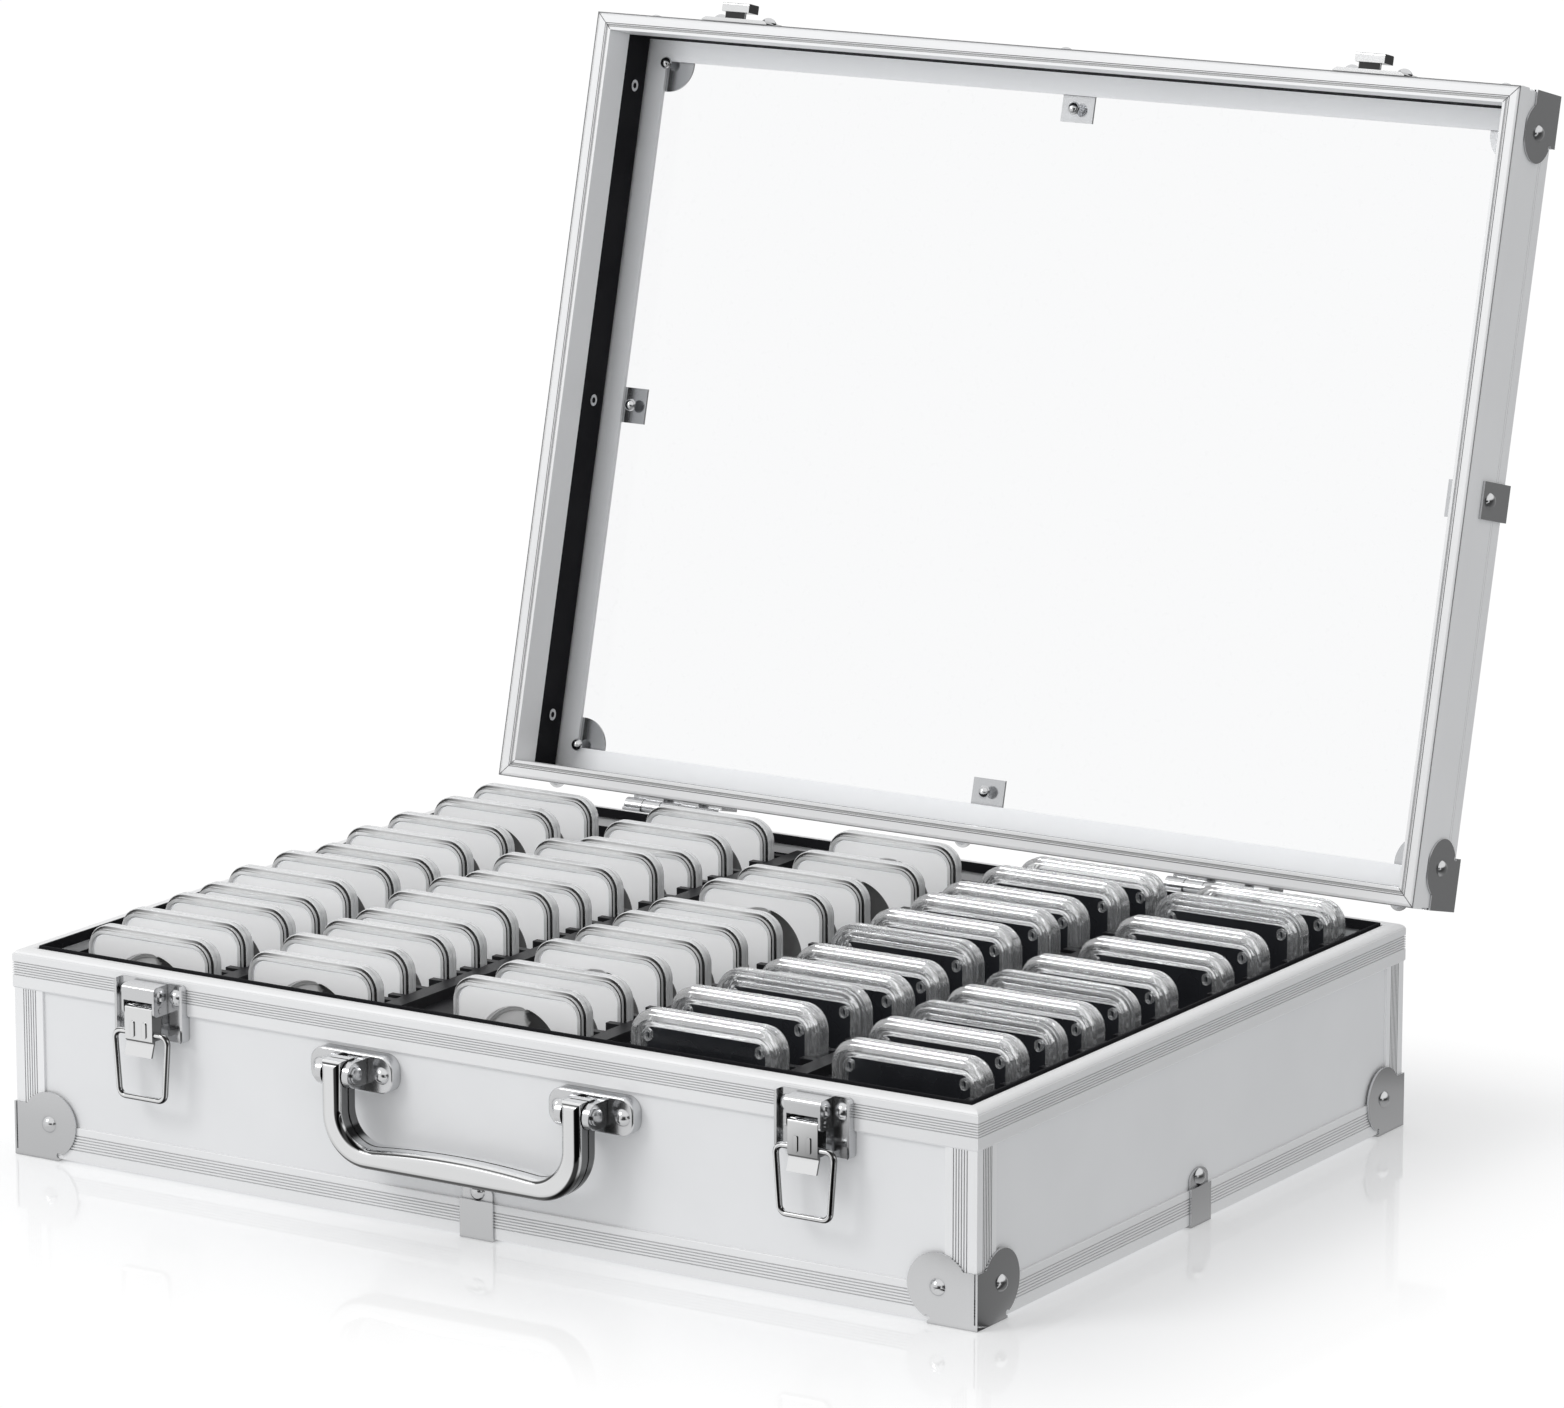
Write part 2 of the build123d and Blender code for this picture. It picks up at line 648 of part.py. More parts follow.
def handle_outline():
    """The folding handle seen from the front, pin line at the top."""
    half = HANDLE_X + HANDLE_LEG_W / 2
    inner = HANDLE_X - HANDLE_LEG_W / 2
    top = HANDLE_PIN_Z + HANDLE_LEG_W / 2 + 1.2
    outer = Pos(0, (top + HANDLE_LOW_Z) / 2) * Rectangle(2 * half, top - HANDLE_LOW_Z)
    outer = fillet(outer.vertices().group_by(Axis.Y)[0], HANDLE_BEND_R)
    grip = HANDLE_LOW_Z + HANDLE_GRIP_T
    arc = ThreePointArc((-inner, grip), (0, grip + HANDLE_GRIP_RISE), (inner, grip))
    over = top + 5
    sides = Polyline((inner, grip), (inner, over), (-inner, over), (-inner, grip))
    gap = make_face(arc + sides)
    gap = fillet(gap.vertices().group_by(Axis.Y)[0], HANDLE_BEND_R - HANDLE_LEG_W + 2)
    return outer - gap


def seam_outline(outline):
    """The handle's outline shrunk by the depth of the seam round its edge."""
    return offset(outline, -HANDLE_SEAM_DEPTH, kind=Kind.INTERSECTION)


def make_handle():
    mid = FRONT_Y - HANDLE_PIN_Y
    deep = HANDLE_LEG_D / 2
    outline = handle_outline()
    body = prism_y(outline, mid - deep, mid + deep)
    body = fillet(body.edges().filter_by(Plane.XZ), HANDLE_SOFT)
    near, far = mid - HANDLE_SEAM_W / 2, mid + HANDLE_SEAM_W / 2
    body -= prism_y(outline, near, far) - prism_y(seam_outline(outline), near, far)
    for sign in (-1, 1):
        x = sign * HANDLE_X
        near, far = x - HANDLE_LEG_W, x + HANDLE_LEG_W
        hole = rod_x(HANDLE_PIN_R + RUN_CLEAR, mid, HANDLE_PIN_Z, near, far)
        body -= hole
    save("handle", [body])
    right = Pos(HANDLE_X, 0, 0)
    left = Pos(-HANDLE_X, 0, 0)
    save("handle_brackets", [left * bracket(), right * bracket()])
    save("handle_pins", [left * handle_pin(), right * handle_pin()])
    heads = []
    for centre in (-HANDLE_X, HANDLE_X):
        for sign in (-1, 1):
            x = centre + sign * BRACKET_RIVET_X
            heads.append(dome_out("front", x, BRACKET_Z, BRACKET_FRONT))
    save("bracket_rivets", heads)


# ================================================================ latches
def cheek(x0, x1):
    """One upright cheek of the latch, with its long hole."""
    y0, y1 = FRONT_Y - CHEEK_REACH, FRONT_Y
    plate = block(x0, x1, y0, y1, CHEEK_LOW_Z, CHEEK_TOP_Z)
    plate = fillet(plate.edges().filter_by(Axis.X).sort_by(Axis.Y)[:2], CHEEK_CORNER_R)
    low = CHEEK_TOP_Z - CHEEK_CORNER_R - CHEEK_HOLE_L
    middle = FRONT_Y - CHEEK_REACH / 2 - CHEEK_HOLE_R
    slot = rod_x(CHEEK_HOLE_R, middle, low + CHEEK_HOLE_R, x0 - 1, x1 + 1)
    high = low + CHEEK_HOLE_L - CHEEK_HOLE_R
    slot += rod_x(CHEEK_HOLE_R, middle, high, x0 - 1, x1 + 1)
    y_in, y_out = middle - CHEEK_HOLE_R, middle + CHEEK_HOLE_R
    slot += block(x0 - 1, x1 + 1, y_in, y_out, low + CHEEK_HOLE_R, high)
    return plate - slot


def latch_pan():
    """The shallow pan that is riveted to the case, with its two side flanges."""
    half = LATCH_W / 2
    pan_y = FRONT_Y - LATCH_PAN_T
    rim_y = FRONT_Y - LATCH_PAN_DEPTH
    low, top = LATCH_LOW_Z, LATCH_TOP_Z
    body = block(-half, half, pan_y, FRONT_Y, low, top)
    panel_y = FRONT_Y + PANEL_INSET
    body += block(-half, half, FRONT_Y, panel_y, low, low + LATCH_PAN_T)
    for sign in (-1, 1):
        edge, inside = sign * half, sign * (half - LATCH_PAN_T)
        x0, x1 = min(edge, inside), max(edge, inside)
        body += block(x0, x1, rim_y, FRONT_Y, low, top)
        body += block(x0, x1, FRONT_Y, panel_y, low, RIM_BOTTOM_Z)
    outline = RectangleRounded(LATCH_W, top - low, LATCH_CORNER_R)
    return body & prism_y(Pos(0, (low + top) / 2) * outline, rim_y - 1, panel_y + 1)


def latch_plate():
    """The pan with the two cheeks and the bridge of the latch, round x = 0."""
    body = latch_pan()
    for sign in (-1, 1):
        near, far = sign * CHEEK_IN, sign * (CHEEK_IN + CHEEK_T)
        body += cheek(min(near, far), max(near, far))
    span = CHEEK_IN + CHEEK_T / 2
    front = FRONT_Y - CHEEK_REACH
    bar = block(-span, span, front, FRONT_Y, CHEEK_TOP_Z - APRON_T, CHEEK_TOP_Z)
    bar += block(-span, span, front, front + APRON_T, APRON_LOW_Z, CHEEK_TOP_Z)
    corner = bar.edges().filter_by(Axis.X).group_by(Axis.Y)[0].sort_by(Axis.Z)[-1]
    body += fillet(corner, CHEEK_CORNER_R)
    pin_y = FRONT_Y - LEVER_PIN_Y
    half = LATCH_W / 2
    return body - rod_x(LEVER_PIN_R + RUN_CLEAR, pin_y, LEVER_PIN_Z, -half, half)


def lever_channel():
    """The folded body of the lever: front sheet, two flanges and a rolled top lip."""
    face = FRONT_Y - LEVER_FACE_Y
    inner = face + LEVER_SHEET
    back = FRONT_Y - LEVER_PIN_Y + LEVER_BACK
    low, top = LEVER_LOW_Z, LEVER_TOP_Z
    body = block(-LEVER_HALF, LEVER_HALF, face, back, low, top)
    corner = body.edges().filter_by(Axis.X).group_by(Axis.Z)[-1].sort_by(Axis.Y)[0]
    body = fillet(corner, LEVER_ROLL_R)
    x = LEVER_HALF - LEVER_SHEET
    body -= block(-x, x, inner, back + 1, low - 1, top - LEVER_SHEET)
    return body - block(-x, x, inner + LEVER_SHEET, back + 1, low - 1, top + 1)


def lever():
    """The latch lever at rest, round x = 0."""
    face = FRONT_Y - LEVER_FACE_Y
    pin_y = FRONT_Y - LEVER_PIN_Y
    tab_top, tab_low = FRONT_Y - LEVER_TAB_TOP_Y, FRONT_Y - LEVER_TAB_Y
    step = LEVER_LOW_Z - LEVER_SHEET
    tab = [
        (face, LEVER_LOW_Z + LEVER_SHEET),
        (face, LEVER_LOW_Z),
        (tab_top - LEVER_SHEET, step),
        (tab_low, LEVER_TAB_Z),
        (tab_low + LEVER_SHEET, LEVER_TAB_Z),
        (tab_top, step),
        (tab_top, LEVER_LOW_Z + LEVER_SHEET),
    ]
    body = lever_channel() + prism_x(tab, -LEVER_HALF, LEVER_HALF)
    for sign in (-1, 1):
        rib = SlotOverall(LEVER_RIB_L, 2 * LEVER_RIB_R, rotation=90)
        rib = Pos(sign * LEVER_RIB_X, LEVER_LOW_Z + 1 + LEVER_RIB_L / 2) * rib
        body += prism_y(rib, face - LEVER_RIB_PROUD, face)
    out = LEVER_HALF + LEVER_SHEET
    pin_hole = rod_x(LEVER_PIN_R + RUN_CLEAR, pin_y, LEVER_PIN_Z, -out, out)
    bail_y = FRONT_Y - BAIL_PIVOT_Y
    bail_hole = rod_x(BAIL_WIRE_R + RUN_CLEAR, bail_y, BAIL_PIVOT_Z, -out, out)
    return body - pin_hole - bail_hole


def bail():
    """The wire loop, hanging from the lever, round x = 0."""
    y, z = FRONT_Y - BAIL_PIVOT_Y, BAIL_PIVOT_Z
    corners = [
        (-BAIL_STUB_IN, y, z),
        (-BAIL_TOP_HALF, y, z),
        (-BAIL_LOW_HALF, y, z - BAIL_LENGTH),
        (BAIL_LOW_HALF, y, z - BAIL_LENGTH),
        (BAIL_TOP_HALF, y, z),
        (BAIL_STUB_IN, y, z),
    ]
    path = FilletPolyline(*corners, radius=BAIL_BEND)
    start = Plane(origin=corners[0], z_dir=(-1, 0, 0))
    return sweep(start * Circle(BAIL_WIRE_R), path=path)


def strike():
    """The hook plate on the lid's front, closed place, round x = 0."""
    half = LATCH_W / 2
    low, top = LID_Z + STRIKE_LOW_U, LID_Z + STRIKE_TOP_U
    face = FRONT_Y - STRIKE_T
    lip_in = FRONT_Y - STRIKE_LIP_IN
    lip_out = lip_in - STRIKE_LIP_T
    hook = STRIKE_HOOK_HALF
    flat = half - STRIKE_END
    end = FRONT_Y - STRIKE_END_T
    outline = [
        (-half, FRONT_Y),
        (half, FRONT_Y),
        (half, end),
        (flat, face),
        (-flat, face),
        (-half, end),
    ]
    lip = block(-hook, hook, lip_out, lip_in, low, LID_Z + STRIKE_LIP_TOP_U)
    lip = fillet(lip.edges().filter_by(Axis.X).group_by(Axis.Y)[0], STRIKE_LIP_SOFT)
    neck = hook - STRIKE_NECK_IN
    back = low + STRIKE_NECK_BACK
    shelf = block(-neck, neck, lip_in - LAP, face + LAP, back, low + STRIKE_SHELF)
    return prism_z(outline, low, top) + shelf + lip


def make_latches():
    places = {"left": Pos(-LATCH_X, 0, 0), "right": Pos(LATCH_X, 0, 0)}
    save("latch_plates", [p * latch_plate() for p in places.values()])
    reach = CHEEK_IN + CHEEK_T
    pin_y = FRONT_Y - LEVER_PIN_Y
    pin = rod_x(LEVER_PIN_R, pin_y, LEVER_PIN_Z, -reach - 0.3, reach + 0.3)
    save("latch_pins", [p * pin for p in places.values()])
    heads, lid_heads = [], []
    for x in (-LATCH_X, LATCH_X):
        for sign in (-1, 1):
            at = x + sign * (LATCH_W / 2 - LATCH_RIVET_IN)
            heads.append(dome_out("front", at, LATCH_RIVET_Z, LATCH_PAN_T))
            up = LID_Z + STRIKE_RIVET_U
            lid_heads.append(dome_out("front", at, up, STRIKE_T))
    save("latch_rivets", heads)
    save_lid("strike_rivets", lid_heads)
    save_lid("strikes", [p * strike() for p in places.values()])
    for name, place in places.items():
        save(f"lever_{name}", [place * lever()])
        save(f"bail_{name}", [place * bail()])


# ================================================================ rear hinges
def hinge_leaf(lower):
    """One leaf round x = 0, the closed place; the lower leaf has the odd knuckles."""
    back = HALF_D
    seat = back + HINGE_LEAF_T
    half = HINGE_W / 2
    if lower:
        low, high = HINGE_Z - HINGE_LEAF_H - HINGE_NOTCH, HINGE_Z - HINGE_NOTCH
    else:
        low, high = HINGE_Z + HINGE_NOTCH, HINGE_Z + HINGE_LEAF_H + HINGE_NOTCH
    body = block(-half, half, back, seat, low, high)
    step = HINGE_W / HINGE_KNUCKLES
    for i in range(HINGE_KNUCKLES):
        if (i % 2 == 0) == lower:
            x0 = -half + i * step + KNUCKLE_GAP / 2
            x1 = x0 + step - KNUCKLE_GAP
            edge = high if lower else low
            body += block(x0, x1, back, seat, min(edge, HINGE_Z), max(edge, HINGE_Z))
            body += rod_x(HINGE_BARREL_R, HINGE_Y, HINGE_Z, x0, x1)
    body -= rod_x(HINGE_PIN_R + RUN_CLEAR, HINGE_Y, HINGE_Z, -half - 1, half + 1)
    return body


def make_hinges():
    places = [Pos(-HINGE_X, 0, 0), Pos(HINGE_X, 0, 0)]
    save("hinge_base_leaves", [p * hinge_leaf(True) for p in places])
    save_lid("hinge_lid_leaves", [p * hinge_leaf(False) for p in places])
    half = HINGE_W / 2
    pin = rod_x(HINGE_PIN_R, HINGE_Y, HINGE_Z, -half - 0.8, half + 0.8)
    save("hinge_pins", [p * pin for p in places])
    low_heads, high_heads = [], []
    drop = HINGE_NOTCH + HINGE_LEAF_H / 2
    head = (HINGE_LEAF_T, HINGE_RIVET_R, HINGE_RIVET_H)
    for x in (-HINGE_X, HINGE_X):
        for shift in (-HINGE_RIVET_X, 0, HINGE_RIVET_X):
            at = -(x + shift)
            low_heads.append(dome_out("back", at, HINGE_Z - drop, *head))
            high_heads.append(dome_out("back", at, HINGE_Z + drop, *head))
    save("hinge_base_rivets", low_heads)
    save_lid("hinge_lid_rivets", high_heads)


# ================================================================ lid
def lid_profile():
    z = LID_Z
    roof = z + LID_FACE_ROOF
    board_in = PANEL_IN
    under = z + LID_T - LID_FLANGE_T
    top = z + LID_T
    face = [
        (0.0, z + 1.2),
        (0.4, z + 0.4),
        (1.4, z),
        (4.8, z),
        (4.9, z + 0.5),
        (5.8, z + 0.5),
        (5.9, z),
        (LID_FACE_W, z),
    ]
    inner = [
        (LID_FACE_W, z + LID_INNER_LEG),
        (board_in, z + LID_INNER_LEG),
        (board_in, roof),
        (PANEL_INSET, roof),
        (PANEL_INSET, under),
        (LID_FLANGE_W, under),
        (LID_FLANGE_W, top),
        (2.8, top),
        (1.3, top - 0.7),
        (LID_BAND_STEP, top - 2.2),
    ]
    lines = []
    for drop in (8.0, 9.4):
        lines += [
            (LID_BAND_STEP, top - drop),
            (LID_BAND_STEP + 0.25, top - drop - 0.25),
            (LID_BAND_STEP, top - drop - 0.5),
        ]
    side = [(LID_BAND_STEP, z + LID_BAND + 0.6), (0.0, z + LID_BAND)]
    return face + inner + lines + side


def lid_boards():
    low = LID_Z + LID_FACE_ROOF
    top = LID_Z + LID_T - LID_FLANGE_T
    x_out, y_out = HALF_W - PANEL_INSET, HALF_D - PANEL_INSET
    x_in, y_in = HALF_W - PANEL_IN, HALF_D - PANEL_IN
    return [
        block(-x_out, x_out, -y_out, -y_in, low, top),
        block(-x_out, x_out, y_in, y_out, low, top),
        block(-x_out, -x_in, -y_in, y_in, low, top),
        block(x_in, x_out, -y_in, y_in, low, top),
    ]


def lid_guard():
    corner = mirror(guard(LID_BAND_STEP - SHEET_T, LID_GUARD_UP, LID_GUARD_R), Plane.XY)
    return Pos(0, 0, LID_Z + LID_T + SHEET_T) * corner


def lid_clip(side):
    half = HALF_D if side in ("front", "back") else HALF_W
    out = LID_BAND_STEP - half
    top = LID_Z + LID_T
    low = LID_Z + LID_CLIP_FROM
    wide = CLIP_W / 2
    body = block(-wide, wide, out - EDGE_T, out, low, top + EDGE_T)
    body += block(-wide, wide, out - EDGE_T, LID_CLIP_TAB - half, top, top + EDGE_T)
    return around(body, side)


def make_lid():
    sides = ("front", "right", "back", "left")
    save_lid("lid_frame", frame_of(lid_profile()))
    save_lid("lid_boards", lid_boards())
    leg = LID_Z + LID_INNER_LEG
    save_lid("lid_lining", lining_strips(leg, LID_Z + WINDOW_LOW_U))
    x, y = HALF_W - PANEL_IN, HALF_D - PANEL_IN
    low = LID_Z + WINDOW_LOW_U
    save_lid("lid_window", [block(-x, x, -y, y, low, low + WINDOW_T)])
    save_lid("lid_guards", four_corners(lid_guard()))
    save_lid("lid_clips", [lid_clip(side) for side in sides])
    make_lid_fixings(sides)


def make_lid_fixings(sides):
    top = LID_Z + LID_T
    proud = SHEET_T - LID_BAND_STEP
    lobe_z = top + SHEET_T - LID_GUARD_UP
    clip_z = LID_Z + LID_CLIP_FROM + 6
    heads = []
    for side in sides:
        along = (HALF_W if side in ("front", "back") else HALF_D) - GUARD_ALONG + proud
        for sign in (-1, 1):
            heads.append(dome_out(side, sign * along, lobe_z, proud))
        heads.append(dome_out(side, 0, clip_z, EDGE_T - LID_BAND_STEP))
    save_lid("lid_rivets", heads)
    spots = []
    reach = GUARD_ALONG - proud
    for sx in (-1, 1):
        for sy in (-1, 1):
            spots.append((sx * (HALF_W - reach), sy * (HALF_D - reach), top + SHEET_T))
    tab = (LID_FLANGE_W + LID_CLIP_TAB) / 2
    for sign in (-1, 1):
        spots.append((0, sign * (HALF_D - tab), top + EDGE_T))
        spots.append((sign * (HALF_W - tab), 0, top + EDGE_T))
    inside = LID_Z + WINDOW_LOW_U
    screws = [Pos(x, y, z) * dome(RIVET_R, RIVET_H) for x, y, z in spots]
    screws += [Pos(x, y, inside) * Rot(180, 0, 0) * dome(SCREW_R, RIVET_H) for x, y, z in spots]
    save_lid("window_screws", screws)
    ring = Cylinder(EYELET_R, EYELET_T) - Cylinder(EYELET_R / 2, 2 * EYELET_T)
    eyelets = []
    wall = HALF_W - LINING_IN - EYELET_T / 2
    for sign in (-1, 1):
        for y in (-EYELET_SPREAD, 0, EYELET_SPREAD):
            spot = Pos(sign * wall, y, LID_Z + EYELET_U) * Rot(0, 90, 0)
            eyelets.append(spot * ring)
    save_lid("lid_eyelets", eyelets)


# ================================================================ build
make_panels()
make_base_skins()
make_linings()
make_racks()
make_holders()
make_handle()
make_latches()
make_hinges()
make_lid()
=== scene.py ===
import json
import math

import bmesh
import bpy
from mathutils import Matrix, Vector


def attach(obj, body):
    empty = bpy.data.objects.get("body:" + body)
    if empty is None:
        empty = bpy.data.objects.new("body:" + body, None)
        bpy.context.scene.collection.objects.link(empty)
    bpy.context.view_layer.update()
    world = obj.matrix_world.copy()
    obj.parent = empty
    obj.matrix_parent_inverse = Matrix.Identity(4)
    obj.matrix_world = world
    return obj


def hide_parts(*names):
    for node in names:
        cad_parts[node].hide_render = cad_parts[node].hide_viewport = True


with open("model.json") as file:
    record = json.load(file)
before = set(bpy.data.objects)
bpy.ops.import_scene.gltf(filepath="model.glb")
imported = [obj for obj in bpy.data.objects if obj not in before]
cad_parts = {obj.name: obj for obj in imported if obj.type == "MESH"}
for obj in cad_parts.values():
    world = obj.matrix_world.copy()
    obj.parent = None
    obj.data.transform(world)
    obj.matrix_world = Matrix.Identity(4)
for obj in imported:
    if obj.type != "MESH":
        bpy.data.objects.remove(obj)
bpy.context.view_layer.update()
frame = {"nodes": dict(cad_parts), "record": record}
NODES = frame["nodes"]
MM = 0.001

# The case, in millimetres: half its width and depth, and the height of the
# base's rim and of the shut lid's lower face.
HW, HD = 210.0, 157.0
RIM_Z, LID_Z = 79.0, 79.2

# The lid is built shut and stands open in the frame.
OPEN = math.radians(104)
HINGE = Vector((0, 161.3, 79.3)) * MM
OPENED = Matrix.Translation(HINGE) @ Matrix.Rotation(-OPEN, 4, "X") @ Matrix.Translation(-HINGE)
# How the open lid faces, and how far its flanges lie along that, for the painted window light on
# the lid frame.
LID_UP = (0, math.sin(OPEN), math.cos(OPEN))
FLANGE_UP = 0.028 + HINGE.y * LID_UP[1] + HINGE.z * LID_UP[2]


# ---------------------------------------------------------------- node helpers
WHITE = (1, 1, 1, 1)

# Painted reflection: brightness painted into the colour of polished parts by the way they face.
# FACING goes round the compass: 0.5 is the front and 0.75 the right. TILTED goes from 0, facing
# down, to 1, facing up.
FACING = (
    (0.0, 0.8), (0.25, 0.55), (0.335, 0.10), (0.367, 0.08), (0.39, 0.95),
    (0.522, 1.0), (0.545, 0.06), (0.63, 0.05), (0.66, 0.8), (0.69, 0.8),
    (0.71, 0.2), (0.76, 0.24), (0.81, 0.08), (0.92, 0.3), (1.0, 0.8),
)
TILTED = (
    (0.0, 0.12), (0.30, 0.12), (0.37, 0.9), (0.72, 1.0),
    (0.76, 0.10), (0.86, 0.10), (0.91, 1.0), (1.0, 1.0),
)

# What polished metal sees round the object, by compass direction as in
# FACING: pale cards with dark gaps between them.
STUDIO = (
    (0.00, 0.45), (0.09, 0.92), (0.25, 0.72), (0.34, 0.88), (0.45, 0.90),
    (0.505, 0.82), (0.53, 0.05), (0.62, 0.03), (0.64, 0.92), (0.66, 0.92),
    (0.675, 0.04), (0.80, 0.07), (0.87, 0.17), (0.94, 0.22), (1.00, 0.45),
)


class Shader:
    """Small wrapper that makes the material nodes shorter to write."""

    def __init__(self, name):
        self.mat = bpy.data.materials.new(name)
        self.mat.use_nodes = True
        self.tree = self.mat.node_tree
        self.tree.nodes.clear()
        self.out = self.tree.nodes.new("ShaderNodeOutputMaterial")
        self.pos = self.node("TexCoord").outputs["Object"]

    def node(self, kind, **inputs):
        n = self.tree.nodes.new("ShaderNode" + kind)
        self.feed(n, **inputs)
        return n

    def feed(self, n, **inputs):
        """Set or link inputs, by name or, as in _1, by number."""
        for key, value in inputs.items():
            socket = n.inputs[int(key[1:])] if key[0] == "_" else n.inputs[key.replace("_", " ")]
            if isinstance(value, bpy.types.NodeSocket):
                self.tree.links.new(value, socket)
            else:
                socket.default_value = value

    def noise(self, scale, detail=2.0):
        return self.node("TexNoise", Vector=self.pos, Scale=scale, Detail=detail).outputs["Fac"]

    def axes(self, vector):
        n = self.node("SeparateXYZ", Vector=vector)
        return [n.outputs[axis] for axis in "XYZ"]

    def facing(self):
        """The way the surface faces, as x, y and z."""
        return self.axes(self.node("NewGeometry").outputs["Normal"])

    def math(self, op, a, b=0.0):
        n = self.node("Math", _0=a, _1=b)
        n.operation = op
        return n.outputs[0]

    def dot(self, vector, axis):
        n = self.node("VectorMath", _0=vector, _1=axis)
        n.operation = "DOT_PRODUCT"
        return n.outputs["Value"]

    def ramp(self, fac, stops):
        """Grey by fac, through (position, brightness) stops."""
        n = self.node("ValToRGB", Fac=fac)
        el = n.color_ramp.elements
        while len(el) < len(stops):
            el.new(0.5)
        for e, (at, value) in zip(el, stops):
            e.position = at
            e.color = (value, value, value, 1)
        return n.outputs["Color"]

    def rise(self, fac, low, high, smooth=False):
        """0 where fac is at low, 1 where it is at high."""
        n = self.node("MapRange", Value=fac)
        n.inputs["From Min"].default_value = low
        n.inputs["From Max"].default_value = high
        if smooth:
            n.interpolation_type = "SMOOTHSTEP"
        return n.outputs[0]

    def span(self, fac, low, high):
        """From low to high as fac goes from 0 to 1."""
        n = self.node("MapRange", Value=fac)
        n.inputs["To Min"].default_value = low
        n.inputs["To Max"].default_value = high
        return n.outputs[0]

    def compass(self, x, y):
        """Direction of (x, y) from 0 to 1, as in FACING."""
        turn = self.math("ARCTAN2", x, self.math("MULTIPLY", y, -1.0))
        return self.rise(turn, -math.pi, math.pi)

    def blend(self, fac, a, b):
        return self.node("MixRGB", Fac=fac, _1=a, _2=b).outputs[0]

    def times(self, a, b):
        n = self.node("MixRGB", Fac=1.0, _1=a, _2=b)
        n.blend_type = "MULTIPLY"
        return n.outputs[0]

    def mix(self, fac, a, b):
        return self.node("MixShader", Fac=fac, _1=a, _2=b).outputs[0]

    def bump(self, height, strength, distance):
        return self.node("Bump", Height=height, Strength=strength, Distance=distance).outputs[0]

    def painted_crease_shade(self, color, reach, depth, local, fine):
        """Painted shade: darken a colour in grooves and, if not local, where pieces meet; if local,
        less on faces turned to the sides.
        """
        n = self.node("AmbientOcclusion", Distance=reach)
        n.samples = 4
        n.only_local = local
        low, high = (0.55, 0.96) if fine else (0.35, 0.82)
        shade = self.ramp(n.outputs["AO"], [(low, 1.0 - depth), (high, 1.0)])
        if local:
            sideways = self.math("ABSOLUTE", self.facing()[0])
            shade = self.blend(self.math("MULTIPLY", sideways, 0.85), shade, WHITE)
        return self.times(color, shade)

    def painted_studio_reflection(self, color):
        """Painted reflection: pale cards and dark gaps of a studio painted into the colour of
        polished parts, by the way they face.
        """
        x, y, z = self.facing()
        around = self.ramp(self.compass(x, y), FACING)
        level = self.rise(self.math("ABSOLUTE", z), 0.75, 0.9)
        side = self.blend(level, around, WHITE)
        tilt = self.ramp(self.rise(z, -1.0, 1.0), TILTED)
        return self.times(color, self.times(side, tilt))

    def painted_window_light(self, strength):
        """Painted light: a glow standing in for the light the window throws on the inner face of
        the lid's front and rear flanges.
        """
        deep = self.math("GREATER_THAN", self.dot(self.pos, LID_UP), FLANGE_UP)
        normal = self.node("TexCoord").outputs["Normal"]
        inward = self.math("LESS_THAN", self.dot(normal, LID_UP), -0.7)
        sideways = self.math("ABSOLUTE", self.axes(self.pos)[0])
        middle = self.rise(sideways, 0.205, 0.185)
        mask = self.math("MULTIPLY", self.math("MULTIPLY", deep, inward), middle)
        return self.math("MULTIPLY", mask, strength)

    def seen_directly(self, path):
        """1 for what the camera sees, also through clear parts."""
        camera, through = path.outputs["Is Camera Ray"], path.outputs["Is Transmission Ray"]
        return self.math("MAXIMUM", camera, through)

    def surface(self, socket):
        self.tree.links.new(socket, self.out.inputs["Surface"])
        return self.mat


# ---------------------------------------------------------------- materials
def metal(name, base, rough, spread, painted_crease_shade, metallic=1.0, reach=0.0014,
          fine=False, painted_reflection=False, painted_glow=0.0):
    """Polished or satin metal with faint cloudy wear in colour and gloss, painted shade in grooves
    and where pieces meet, and, if asked, a painted studio reflection and a painted glow.
    """
    s = Shader(name)
    broad = s.noise(14.0, 3.0)
    grain = s.noise(240.0, 3.0)
    worn = tuple(c * 0.96 for c in base)
    tone = s.blend(s.ramp(broad, [(0.35, 0.0), (0.68, 1.0)]), (*base, 1), (*worn, 1))
    # Painted reflection of the studio's cards and gaps, by the way the surface faces.
    if painted_reflection:
        tone = s.painted_studio_reflection(tone)
    # Painted shade in grooves and where pieces meet.
    tone = s.painted_crease_shade(tone, reach, painted_crease_shade, metallic < 0.5, fine)
    mixed = s.math("ADD", s.math("MULTIPLY", grain, 0.5), s.math("MULTIPLY", broad, 0.5))
    roughness = s.span(mixed, rough - spread, rough + spread)
    normal = s.bump(grain, 0.02, 0.0001)
    b = s.node("BsdfPrincipled", Base_Color=tone, Metallic=metallic, Roughness=roughness,
               Normal=normal)
    # Painted light: the inner flanges glow as if lit through the window.
    if painted_glow:
        s.feed(b, Emission_Strength=s.painted_window_light(painted_glow))
        b.inputs["Emission Color"].default_value = (0.96, 0.98, 1.0, 1)
    return s.surface(b.outputs[0])


